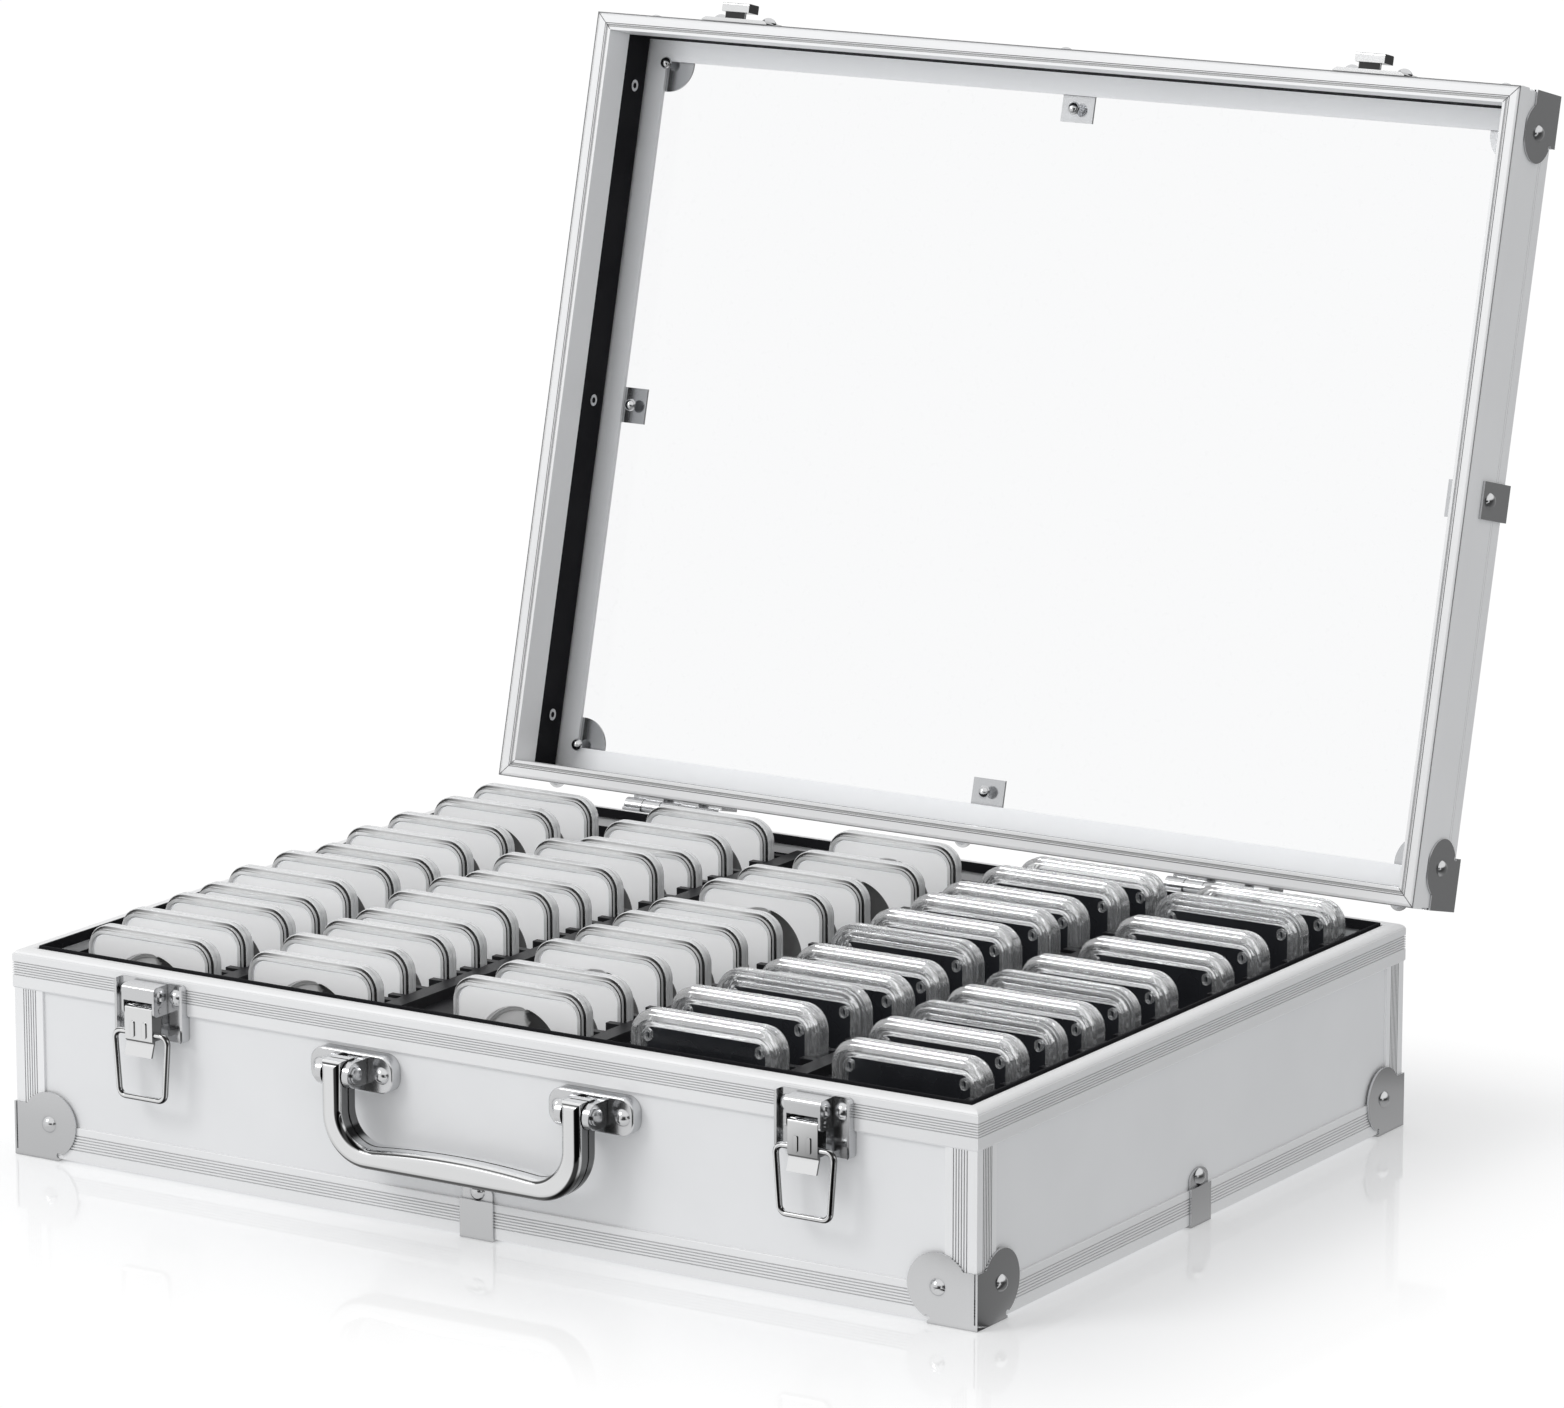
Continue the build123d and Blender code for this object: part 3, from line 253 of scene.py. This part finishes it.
def plastic(name, dark, light, rough, grain, bump, coat=0.0, shine=0.5, painted_glow=0.0):
    """Moulded or laminated plastic, cloudy between two tones, with a fine grain."""
    s = Shader(name)
    broad = s.noise(22.0, 4.0)
    fine = s.noise(grain, 3.0)
    tone = s.blend(s.ramp(broad, [(0.35, 0.0), (0.65, 1.0)]), (*dark, 1), (*light, 1))
    roughness = s.span(fine, rough - 0.07, rough + 0.07)
    normal = s.bump(fine, bump, 0.0004)
    b = s.node("BsdfPrincipled", Base_Color=tone, Roughness=roughness, Normal=normal)
    b.inputs["Coat Weight"].default_value = coat
    b.inputs["Coat Roughness"].default_value = 0.08
    b.inputs["Specular IOR Level"].default_value = shine
    # Painted light: an optional glow that brightens the part as if lit, though it is no lamp.
    b.inputs["Emission Color"].default_value = WHITE
    b.inputs["Emission Strength"].default_value = painted_glow
    return s.surface(b.outputs[0])


def clear(name, milky, silver):
    """Clear moulded plastic; light passes straight through for shadows."""
    s = Shader(name)
    roughness = s.span(s.noise(60.0), 0.0, 0.02)
    glass = s.node("BsdfGlass", Color=(0.985, 0.988, 0.99, 1), Roughness=roughness, IOR=1.49)
    milk = s.node("BsdfDiffuse", Color=(0.93, 0.935, 0.94, 1))
    sheen = s.node("BsdfGlossy", Color=(0.95, 0.955, 0.96, 1), Roughness=0.12)
    body = s.mix(silver, s.mix(milky, glass.outputs[0], milk.outputs[0]), sheen.outputs[0])
    through = s.node("BsdfTransparent", Color=(0.9, 0.91, 0.92, 1))
    path = s.node("LightPath")
    soft = s.math("MAXIMUM", path.outputs["Is Shadow Ray"], path.outputs["Is Diffuse Ray"])
    return s.surface(s.mix(soft, body, through.outputs[0]))


def pane(name):
    """The flat window: nearly invisible, with a faint reflection and a few specks."""
    s = Shader(name)
    fres = s.node("Fresnel", IOR=1.49)
    gloss = s.node("BsdfGlossy", Color=WHITE, Roughness=0.03)
    through = s.node("BsdfTransparent", Color=(0.966, 0.968, 0.971, 1))
    dust = s.ramp(s.noise(300.0), [(0.62, 0.0), (0.75, 0.02)])
    veil = s.node("BsdfDiffuse", Color=(0.9, 0.9, 0.9, 1))
    seen = s.math("MULTIPLY", s.node("LightPath").outputs["Is Camera Ray"], 0.6)
    outer = s.math("SUBTRACT", 1.0, s.node("NewGeometry").outputs["Backfacing"])
    part = s.math("MULTIPLY", fres.outputs[0], s.math("MULTIPLY", seen, outer))
    body = s.mix(part, through.outputs[0], gloss.outputs[0])
    return s.surface(s.mix(dust, body, veil.outputs[0]))


def coin_face(name):
    """A mirror-like coin whose reflection is painted into its colour: pale on the left, a painted
    dark reflection on the right.
    """
    s = Shader(name)
    wave = s.math("MULTIPLY", s.noise(260.0), 0.006)
    across = s.rise(s.math("ADD", s.axes(s.pos)[0], wave), -0.018, 0.018)
    tone = s.ramp(across, [(0.0, 0.6), (0.3, 0.85), (0.62, 0.8),
                           (0.68, 0.05), (0.9, 0.08), (1.0, 0.12)])
    roughness = s.span(s.noise(180.0), 0.28, 0.42)
    b = s.node("BsdfPrincipled", Base_Color=tone, Metallic=0.05, Roughness=roughness)
    return s.surface(b.outputs[0])


def painted_rim_line(name):
    """Painted reflection: thin dark line along the clear rim's edge steps, standing in for the dark
    reflections in the clear plastic; darkest on the sides, faint on top.
    """
    s = Shader(name)
    ends = s.rise(s.math("ABSOLUTE", s.axes(s.pos)[0]), 0.012, 0.026)
    tone = s.ramp(ends, [(0.0, 0.62), (0.45, 0.32), (0.8, 0.012)])
    roughness = s.span(s.noise(90.0), 0.12, 0.2)
    b = s.node("BsdfPrincipled", Base_Color=tone, Roughness=roughness)
    return s.surface(b.outputs[0])


BLACK, SOOT = (0.010, 0.010, 0.012), (0.016, 0.016, 0.018)
SATIN = (0.91, 0.913, 0.92)
LOOKS = {
    "laminate": (plastic, dict(
        dark=(0.825, 0.83, 0.84), light=(0.85, 0.855, 0.865), rough=0.36, grain=1500.0, bump=0.03)),
    "seam_line": (plastic, dict(
        dark=(0.13, 0.13, 0.135), light=(0.18, 0.18, 0.185), rough=0.6, grain=900.0, bump=0.02)),
    # Light painted shade in the grooves.
    "grooved_aluminium": (metal, dict(
        base=(0.88, 0.883, 0.89), rough=0.34, spread=0.05, metallic=0.12, painted_crease_shade=0.25)),
    # Corner posts: deeper painted shade in their grooves.
    "grooved_painted_deep_shade": (metal, dict(
        base=SATIN, rough=0.34, spread=0.05, metallic=0.06, painted_crease_shade=0.75, fine=True)),
    # Lid frame: deeper painted shade in its grooves and a painted glow from the window.
    "lid_aluminium_painted_glow": (metal, dict(
        base=SATIN, rough=0.34, spread=0.05, metallic=0.06, painted_crease_shade=0.75, fine=True, painted_glow=0.3)),
    # Painted studio reflection, and deep painted shade under the hook's lip and where pieces meet.
    "strike_plate": (metal, dict(
        base=(0.84, 0.845, 0.85), rough=0.12, spread=0.03, painted_crease_shade=0.93, reach=0.0035, painted_reflection=True)),
    # Painted shade where pieces meet.
    "nickel_sheet": (metal, dict(
        base=(0.70, 0.705, 0.715), rough=0.16, spread=0.04, painted_crease_shade=0.6)),
    # Painted studio reflection, and painted shade where pieces meet.
    "chrome_hardware": (metal, dict(
        base=(0.90, 0.905, 0.91), rough=0.05, spread=0.02, painted_crease_shade=0.6, painted_reflection=True)),
    "black_lining": (plastic, dict(
        dark=BLACK, light=SOOT, rough=0.85, grain=2500.0, bump=0.3, shine=0.1)),
    "black_rack": (plastic, dict(
        dark=BLACK, light=SOOT, rough=0.4, grain=1600.0, bump=0.1, shine=0.3)),
    "clear_holder": (clear, dict(milky=0.6, silver=0.15)),
    "clear_large": (clear, dict(milky=0.12, silver=0.25)),
    "holder_painted_line": (painted_rim_line, {}),
    # Painted light: the insert glows a little, brighter than its lighting makes it.
    "pale_insert": (plastic, dict(
        dark=(0.89, 0.895, 0.905), light=(0.91, 0.915, 0.92), rough=0.35, grain=700.0, bump=0.01,
        coat=0.3, painted_glow=0.14)),
    "black_insert": (plastic, dict(
        dark=(0.016, 0.017, 0.020), light=(0.035, 0.037, 0.042), rough=0.22, grain=900.0,
        bump=0.02, coat=0.6)),
    "silver_coin": (coin_face, {}),
    "window_acrylic": (pane, {}),
    "black_board": (plastic, dict(
        dark=(0.02, 0.02, 0.02), light=(0.035, 0.035, 0.035), rough=0.7, grain=800.0, bump=0.1)),
}
MAT = {name: make(name, **values) for name, (make, values) in LOOKS.items()}

# Nodes that don't look quite like the rest of their material slot: the corner posts take deeper
# painted shade in their grooves, the lid frame the same and a painted glow from the window, and the
# strikes painted reflection and deep painted shade.
SPECIAL = {
    "corner_posts": "grooved_painted_deep_shade",
    "lid_frame": "lid_aluminium_painted_glow",
    "strikes": "strike_plate",
}
for part in frame["record"]["subparts"]:
    node = NODES[part["node"]]
    node.data.materials.clear()
    look = SPECIAL.get(part["node"], part["material_slot"])
    node.data.materials.append(MAT[look])


# ---------------------------------------------------------------- mesh helpers
ARC_STEPS = 8
SIDES = 64


def link(name, mesh, body, slot, spot=(0, 0, 0)):
    obj = bpy.data.objects.new(name, mesh)
    bpy.context.scene.collection.objects.link(obj)
    obj.location = spot
    if not mesh.materials:
        mesh.materials.append(MAT[slot])
    bpy.context.view_layer.update()
    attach(obj, body)
    return obj


def to_mesh(name, bm, sharp=None):
    """Turn a bmesh into a mesh, smooth below the given angle in degrees."""
    mesh = bpy.data.meshes.new(name)
    bm.to_mesh(mesh)
    bm.free()
    if sharp:
        mesh.shade_smooth()
        mesh.set_sharp_from_angle(angle=math.radians(sharp))
    return mesh


def bridge(bm, a, b):
    """Faces between two loops of points; a loop of one point is a tip."""
    faces = []
    count = max(len(a), len(b))
    for i in range(count):
        j = (i + 1) % count
        if len(a) == 1:
            corners = (a[0], b[j], b[i])
        elif len(b) == 1:
            corners = (a[i], a[j], b[0])
        else:
            corners = (a[i], a[j], b[j], b[i])
        faces.append(bm.faces.new(corners))
    return faces


def rounded(wide, tall, radius):
    """Points round a rounded rectangle centred on the origin, anticlockwise."""
    radius = max(min(radius, wide / 2 - 0.01, tall / 2 - 0.01), 0.05)
    points = []
    for cx, cz, start in ((1, 1, 0), (-1, 1, 90), (-1, -1, 180), (1, -1, 270)):
        for i in range(ARC_STEPS + 1):
            a = math.radians(start + 90 * i / ARC_STEPS)
            points.append((cx * (wide / 2 - radius) + radius * math.cos(a),
                           cz * (tall / 2 - radius) + radius * math.sin(a)))
    return points


def ring_mesh(name, profile, wide, tall, radius, lines=()):
    """Sweep an (inset, y) profile round a rounded rectangle standing on y.

    The steps of the profile named in lines take the mesh's second material.
    """
    bm = bmesh.new()
    loops = []
    for inset, y in profile:
        pts = rounded(wide - 2 * inset, tall - 2 * inset, radius - inset)
        loops.append([bm.verts.new((x * MM, y * MM, z * MM)) for x, z in pts])
    for step, (a, b) in enumerate(zip(loops, loops[1:] + loops[:1])):
        for face in bridge(bm, a, b):
            face.material_index = int(step in lines)
    bmesh.ops.recalc_face_normals(bm, faces=bm.faces)
    return to_mesh(name, bm, 28)


def plate_mesh(name, outline, holes, depth, bevel):
    """A flat plate with holes, standing in the XZ plane and centred on y = 0."""
    curve = bpy.data.curves.new(name, "CURVE")
    curve.dimensions = "2D"
    curve.fill_mode = "BOTH"
    curve.extrude = (depth / 2 - bevel) * MM
    curve.bevel_depth = bevel * MM
    curve.bevel_resolution = 2
    curve.offset = -bevel * MM
    for points in [outline] + holes:
        spline = curve.splines.new("POLY")
        spline.points.add(len(points) - 1)
        spline.use_cyclic_u = True
        for p, (x, z) in zip(spline.points, points):
            p.co = (x * MM, z * MM, 0, 1)
    holder = bpy.data.objects.new(name, curve)
    bpy.context.scene.collection.objects.link(holder)
    deps = bpy.context.evaluated_depsgraph_get()
    mesh = bpy.data.meshes.new_from_object(holder.evaluated_get(deps))
    bpy.data.objects.remove(holder)
    bpy.data.curves.remove(curve)
    mesh.name = name
    mesh.transform(Matrix.Rotation(math.pi / 2, 4, "X"))
    return mesh


# ---------------------------------------------------------------- coin holders
# Holders stand on the floor lining, and their tops reach one of three heights.
FLOOR_Z = 5.5
TOPS = {"a": 86.9, "b": 89.2, "c": 91.7}

# For each column: how far its right side and its first holder lie from the
# case's left and front sides, the steps from holder to holder towards the
# back, and each holder's height.
COLUMNS = {
    "1": (77.0, 24.7, (20, 27, 20, 20, 28, 27, 22, 28, 32, 27), "abbbccbcccc"),
    "2": (151.0, 24.7, (20, 26, 20, 21, 27, 22, 22, 28, 27, 22, 30), "abbbccbccabb"),
    "3": (241.0, 27.7, (26, 26, 26, 25, 24, 36, 26, 40, 27), "bbccccccbc"),
    "4": (326.0, 24.5, (26, 30, 29, 24, 25, 27, 28, 22, 30, 29), "bccbbcccccb"),
    "5": (404.0, 35.0, (24, 27, 26, 26, 27, 42, 27, 30, 29), "abbbbbabcb"),
}
LARGE_COLUMNS = "45"
RIDGED = {"4": (2, 5), "5": (2, 4, 8)}

# The slim holders: a clear rim, and an insert with a hole that shows a coin.
SMALL_W, SMALL_R = 58.4, 9.0
SLIM_RIM = [
    (0.0, -1.75), (0.0, -0.2), (0.3, -0.15), (0.3, 0.15), (0.0, 0.2), (0.0, 1.75),
    (0.3, 2.1), (0.9, 2.2), (1.2, 2.5), (1.2, 3.8), (1.5, 4.2), (2.7, 4.2), (3.1, 3.9),
    (3.2, 3.3), (3.2, -3.3), (3.1, -3.9), (2.7, -4.2), (1.5, -4.2), (1.2, -3.8),
    (1.2, -2.5), (0.9, -2.2), (0.3, -2.1),
]
# Steps of the rim that carry the painted dark reflection lines.
SLIM_LINES = (2, 5, 6, 7, 17, 19, 20)
INSERT_IN, INSERT_R, INSERT_T, INSERT_BEVEL = 6.5, 5.8, 6.4, 0.25
COIN_R, COIN_T, COIN_RIM, COIN_DOWN = 17.8, 2.6, 1.2, 26.2
HOLE_R, HOLE_SIDES = 18.1, 144
NOTCH_AT, NOTCH_HALF, NOTCH_DEEP = 80.0, 3.0, 0.5

# The large holders: a thick clear body, plain or ridged, round a black core.
LARGE_W, LARGE_R = 63.5, 9.5
THICK_HALF = [
    (0.0, 0.35), (0.0, 2.1), (0.5, 2.4), (0.35, 2.9), (0.5, 3.6), (1.0, 4.3), (1.8, 4.7),
    (3.2, 4.75), (3.5, 4.3), (3.9, 4.2), (4.4, 4.65), (5.4, 4.65), (5.8, 4.2), (6.0, 3.4),
    (6.0, 1.6),
]
RIDGE_HALF = [
    (0.0, 0.35), (0.0, 1.9), (0.8, 2.0), (0.9, 2.6), (0.5, 2.7), (0.5, 3.4), (1.5, 3.5),
    (1.6, 4.1), (1.9, 4.7), (2.8, 4.75), (3.0, 4.2), (3.6, 4.1), (3.8, 4.6), (5.2, 4.6),
    (5.6, 4.0), (6.0, 3.4), (6.0, 1.6),
]
CORE_IN, CORE_R, CORE_T, CORE_BEVEL = 12.1, 3.5, 3.0, 0.2
PRONG_W, PRONG_H, PRONG_R = 3.4, 4.4, 1.6
PRONG_LOOP = [(0.0, -4.5), (0.0, -3.3), (0.9, -3.3), (0.9, -4.5)]
PRONG_SIDE, PRONG_DOWN = 8.2, 9.0


def both_ways(half):
    """A whole profile from its rear half."""
    return [(d, -y) for d, y in reversed(half)] + half


def coin_hole(cz):
    """Round hole with one small notch in its upper edge."""
    points = []
    for i in range(HOLE_SIDES):
        a = 2 * math.pi * i / HOLE_SIDES
        off = abs(math.degrees(a) - NOTCH_AT)
        r = HOLE_R - max(0.0, NOTCH_DEEP * (1 - off / NOTCH_HALF))
        points.append((r * math.cos(a), cz + r * math.sin(a)))
    return points


def coin_mesh(name, cz):
    """A coin: flat field, raised rim and a shallow plain boss."""
    front = -COIN_T / 2
    rings = [
        (0.0, front + 0.35), (COIN_R * 0.6, front + 0.25), (COIN_R - COIN_RIM - 0.4, front + 0.35),
        (COIN_R - COIN_RIM, front), (COIN_R - 0.3, front), (COIN_R, front + 0.3),
    ]
    rings += [(r, -y) for r, y in reversed(rings)]
    turns = [2 * math.pi * i / SIDES for i in range(SIDES)]
    bm = bmesh.new()
    loops = []
    for r, y in rings:
        around = turns if r else turns[:1]
        loops.append([bm.verts.new((r * MM * math.cos(a), y * MM, (cz + r * math.sin(a)) * MM))
                      for a in around])
    for a, b in zip(loops, loops[1:]):
        bridge(bm, a, b)
    bmesh.ops.recalc_face_normals(bm, faces=bm.faces)
    return to_mesh(name, bm, 30)


def add_prongs(shell, wide, tall):
    """Small bright retaining loops moulded at the upper corners of the core."""
    loop = ring_mesh("prong", PRONG_LOOP, PRONG_W, PRONG_H, PRONG_R)
    bm = bmesh.new()
    bm.from_mesh(shell)
    for side in (-1, 1):
        start = len(bm.verts)
        bm.from_mesh(loop)
        bm.verts.ensure_lookup_table()
        spot = Vector((side * (wide / 2 - PRONG_SIDE), 0, tall / 2 - PRONG_DOWN)) * MM
        bmesh.ops.translate(bm, vec=spot, verts=bm.verts[start:])
    bm.to_mesh(shell)
    bm.free()


def large_meshes(tag, tall, ridged):
    shell = ring_mesh("shell_" + tag, both_ways(RIDGE_HALF if ridged else THICK_HALF),
                      LARGE_W, tall, LARGE_R)
    shell.materials.append(MAT["clear_large"])
    add_prongs(shell, LARGE_W, tall)
    outline = rounded(LARGE_W - CORE_IN, tall - CORE_IN, CORE_R)
    return [shell, plate_mesh("core_" + tag, outline, [], CORE_T, CORE_BEVEL)]


def small_meshes(tag, tall):
    shell = ring_mesh("shell_" + tag, SLIM_RIM, SMALL_W, tall, SMALL_R, SLIM_LINES)
    shell.materials.append(MAT["clear_holder"])
    shell.materials.append(MAT["holder_painted_line"])
    coin_z = tall / 2 - COIN_DOWN
    outline = rounded(SMALL_W - INSERT_IN, tall - INSERT_IN, INSERT_R)
    insert = plate_mesh("core_" + tag, outline, [coin_hole(coin_z)], INSERT_T, INSERT_BEVEL)
    return [shell, insert, coin_mesh("coin_" + tag, coin_z)]


def holder_meshes(key, kind, ridged):
    """The meshes of one sort of holder, standing on the floor lining."""
    tall = TOPS[kind] - FLOOR_Z
    tag = f"{key}{kind}{'r' if ridged else ''}"
    large = key in LARGE_COLUMNS
    meshes = large_meshes(tag, tall, ridged) if large else small_meshes(tag, tall)
    for mesh in meshes:
        mesh.transform(Matrix.Translation((0, 0, (FLOOR_Z + tall / 2) * MM)))
    return meshes


def build_holders():
    for key, (right, first, steps, kinds) in COLUMNS.items():
        large = key in LARGE_COLUMNS
        wide = LARGE_W if large else SMALL_W
        slots = ["clear_holder", "black_insert" if large else "pale_insert", "silver_coin"]
        nodes = [f"holder_shells_{key}", f"holder_inserts_{key}", f"coins_{key}"]
        ys = [first]
        for step in steps:
            ys.append(ys[-1] + step)
        made = {}
        for i, (y, kind) in enumerate(zip(ys, kinds)):
            ridged = i in RIDGED.get(key, ())
            if (kind, ridged) not in made:
                made[kind, ridged] = holder_meshes(key, kind, ridged)
            spot = Vector((right - wide / 2 - HW, y - HD, 0)) * MM
            for mesh, slot, node in zip(made[kind, ridged], slots, nodes):
                obj = link(f"{node}_{i + 1:02d}", mesh, f"holders_{key}_body", slot, spot)
                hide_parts(node)


build_holders()


# ---------------------------------------------------------------- thin edges, seams and painted shadows
# Insets from the case's sides, widths and heights, in millimetres.
LINING_IN, LINING_W, LINING_DOWN, LINING_UP = 7.15, 0.9, 3.0, 0.7
LID_LINES = {"lid_line_outer": (0.12, 0.3), "lid_line_inner": (4.2, 0.32)}
LINE_SUNK, LINE_PROUD = 0.04, 0.2
MITRE_NEAR, MITRE_FAR, MITRE_W, MITRE_T = 0.3, 6.8, 0.3, 0.1
STRIKE_X = (-144.4, 144.4)
# The black sheet painted as shadow under each strike's hook: its size, how far out from the front
# and how high above the lid.
HOOK_SHADOW_W, HOOK_SHADOW_H, HOOK_SHADOW_T, HOOK_SHADOW_OUT, HOOK_SHADOW_UP = 9.2, 2.5, 0.1, 2.85, 0.68


def square_ring(name, inset, width, low, high):
    """A rectangular ring set in from the case's sides."""
    bm = bmesh.new()
    loops = []
    for d, z in ((inset, low), (inset + width, low), (inset + width, high), (inset, high)):
        x, y = HW - d, HD - d
        corners = ((-x, -y), (x, -y), (x, y), (-x, y))
        loops.append([bm.verts.new((cx * MM, cy * MM, z * MM)) for cx, cy in corners])
    for a, b in zip(loops, loops[1:] + loops[:1]):
        bridge(bm, a, b)
    bmesh.ops.recalc_face_normals(bm, faces=bm.faces)
    return to_mesh(name, bm)


def add_bar(bm, place, size):
    """A box of the given size in millimetres, centred where place puts it."""
    scale = Matrix.Diagonal((*(side * MM for side in size), 1))
    bmesh.ops.create_cube(bm, size=1.0, matrix=place @ scale)


def mitre_mesh():
    """The four diagonal joints of the lid's mitred frame, as thin raised lines."""
    bm = bmesh.new()
    middle = (MITRE_NEAR + MITRE_FAR) / 2
    length = (MITRE_FAR - MITRE_NEAR) * math.sqrt(2)
    for sx, sy in ((-1, -1), (1, -1), (1, 1), (-1, 1)):
        place = Matrix.Translation(Vector((sx * (HW - middle), sy * (HD - middle), LID_Z)) * MM)
        turn = Matrix.Rotation(math.radians(45 * sx * sy), 4, "Z")
        add_bar(bm, place @ turn, (length, MITRE_W, MITRE_T))
    return to_mesh("lid_mitres", bm)


def hook_shadow_mesh(x):
    """A thin black sheet painted as the shadow under a strike's hook."""
    bm = bmesh.new()
    place = Matrix.Translation(Vector((x, -HD - HOOK_SHADOW_OUT, LID_Z + HOOK_SHADOW_UP)) * MM)
    add_bar(bm, place, (HOOK_SHADOW_W, HOOK_SHADOW_H, HOOK_SHADOW_T))
    return to_mesh("strike_hook_shadow", bm)


def build_seams():
    # Painted shadow under each strike's hook, carried by the lid.
    for x in STRIKE_X:
        hook_shadow = hook_shadow_mesh(x)
        hook_shadow.transform(OPENED)
        link("strike_hook_shadow", hook_shadow, "lid", "black_board")
    lining = square_ring("lining_edge", LINING_IN, LINING_W, RIM_Z - LINING_DOWN, RIM_Z + LINING_UP)
    link("lining_edge", lining, "base", "black_lining")
    lines = [square_ring(name, inset, width, LID_Z - LINE_SUNK, LID_Z + LINE_PROUD)
             for name, (inset, width) in LID_LINES.items()]
    for mesh in lines + [mitre_mesh()]:
        mesh.materials.append(MAT["seam_line"])
        mesh.transform(OPENED)
        link(mesh.name, mesh, "lid", "grooved_aluminium")


build_seams()


# ---------------------------------------------------------------- stage
# Distances past the case's footprint, in metres: the floor turns from a
# glossy mirror to plain white between FADE_NEAR and FADE_FAR, and its
# reflections start from the near corner within CORNER_NEAR.
FADE_NEAR, FADE_FAR = 0.015, 0.15
CORNER_NEAR, CORNER_FAR = 0.05, 0.14
CORNER_IN = 8.0
RING_LIGHT = 0.95

CAMERA_AT = (1.4748, -2.2709, 0.7649)
CAMERA_TURN = (math.radians(77.57), 0, math.radians(32.46))
CAMERA_LENS, CAMERA_SENSOR = 171.2, 36.0

LAMP_AT, LAMP_TO, LAMP_SIZE, LAMP_POWER = (-1.3, -1.9, 1.9), (0, 0, 0.1), 1.0, 20


def past_side(s, place, half):
    """How far a floor coordinate lies past the case's side."""
    return s.math("MAXIMUM", s.math("SUBTRACT", s.math("ABSOLUTE", place), half * MM), 0.0)


def build_floor():
    s = Shader("floor")
    x, y, _ = s.axes(s.pos)
    past_x, past_y = past_side(s, x, HW), past_side(s, y, HD)
    squares = s.math("ADD", s.math("MULTIPLY", past_x, past_x), s.math("MULTIPLY", past_y, past_y))
    past = s.math("SQRT", squares)
    close = s.rise(past, CORNER_FAR, CORNER_NEAR)
    ring_x = s.math("SUBTRACT", x, s.math("MULTIPLY", close, HW * MM))
    ring_y = s.math("ADD", y, s.math("MULTIPLY", close, (HD - CORNER_IN) * MM))
    base = s.node("BsdfDiffuse", Color=(0.88, 0.883, 0.888, 1))
    lift = s.node("Emission", Color=WHITE, Strength=0.21)
    lit = s.node("AddShader", _0=base.outputs[0], _1=lift.outputs[0])
    gloss = s.node("BsdfGlossy", Color=WHITE, Roughness=s.span(s.noise(6.0), 0.03, 0.06))
    near = s.mix(0.24, lit.outputs[0], gloss.outputs[0])
    white = s.node("Emission", Color=WHITE, Strength=1.02)
    seen = s.mix(s.rise(past, FADE_NEAR, FADE_FAR, smooth=True), near, white.outputs[0])
    grey = s.node("Emission", Color=(0.97, 0.985, 1.0, 1), Strength=0.78)
    cards = s.ramp(s.compass(ring_x, ring_y), STUDIO)
    ring = s.node("Emission", Color=cards, Strength=RING_LIGHT)
    path = s.node("LightPath")
    dull = s.mix(path.outputs["Is Glossy Ray"], grey.outputs[0], ring.outputs[0])
    mat = s.surface(s.mix(s.seen_directly(path), dull, seen))
    bpy.ops.mesh.primitive_plane_add(size=30, location=(0, 0, -0.0002))
    floor = bpy.context.object
    floor.name = "floor"
    floor.data.materials.append(mat)


class WorldShader(Shader):
    """The same node helpers for the world's node tree."""

    def __init__(self):
        world = bpy.data.worlds.new("world")
        bpy.context.scene.world = world
        world.use_nodes = True
        self.tree = world.node_tree
        self.tree.nodes.clear()
        self.out = self.node("OutputWorld")
        self.pos = self.node("TexCoord").outputs["Generated"]


def build_world():
    """Pale studio for soft light; a ring of cards and gaps for polished metal."""
    s = WorldShader()
    x, y, z = s.axes(s.pos)
    height = s.ramp(z, [(0.0, 0.80), (0.5, 0.95), (1.0, 0.85)])
    side = s.ramp(s.rise(x, -1.0, 1.0), [(0.0, 1.0), (0.45, 1.0), (0.9, 0.52)])
    soft = s.node("Background", Color=s.times(height, side), Strength=1.0)
    cards = s.blend(s.rise(z, 0.22, 0.42), s.ramp(s.compass(x, y), STUDIO), WHITE)
    ring = s.node("Background", Color=cards, Strength=RING_LIGHT)
    white = s.node("Background", Color=WHITE, Strength=1.0)
    path = s.node("LightPath")
    dull = s.mix(path.outputs["Is Glossy Ray"], soft.outputs[0], ring.outputs[0])
    both = s.mix(s.seen_directly(path), dull, white.outputs[0])
    s.tree.links.new(both, s.out.inputs["Surface"])


def build_camera():
    data = bpy.data.cameras.new("camera")
    data.lens = CAMERA_LENS
    data.sensor_width = CAMERA_SENSOR
    data.sensor_fit = "HORIZONTAL"
    data.clip_end = 100
    cam = bpy.data.objects.new("camera", data)
    bpy.context.scene.collection.objects.link(cam)
    cam.location = CAMERA_AT
    cam.rotation_euler = CAMERA_TURN
    bpy.context.scene.camera = cam


def build_lamp():
    data = bpy.data.lights.new("key", "AREA")
    data.energy = LAMP_POWER
    data.size = LAMP_SIZE
    lamp = bpy.data.objects.new("key", data)
    bpy.context.scene.collection.objects.link(lamp)
    lamp.location = LAMP_AT
    aim = Vector(LAMP_TO) - Vector(LAMP_AT)
    lamp.rotation_euler = aim.to_track_quat("-Z", "Y").to_euler()


build_floor()
build_world()
build_camera()
build_lamp()
bpy.context.scene.view_settings.view_transform = "Standard"
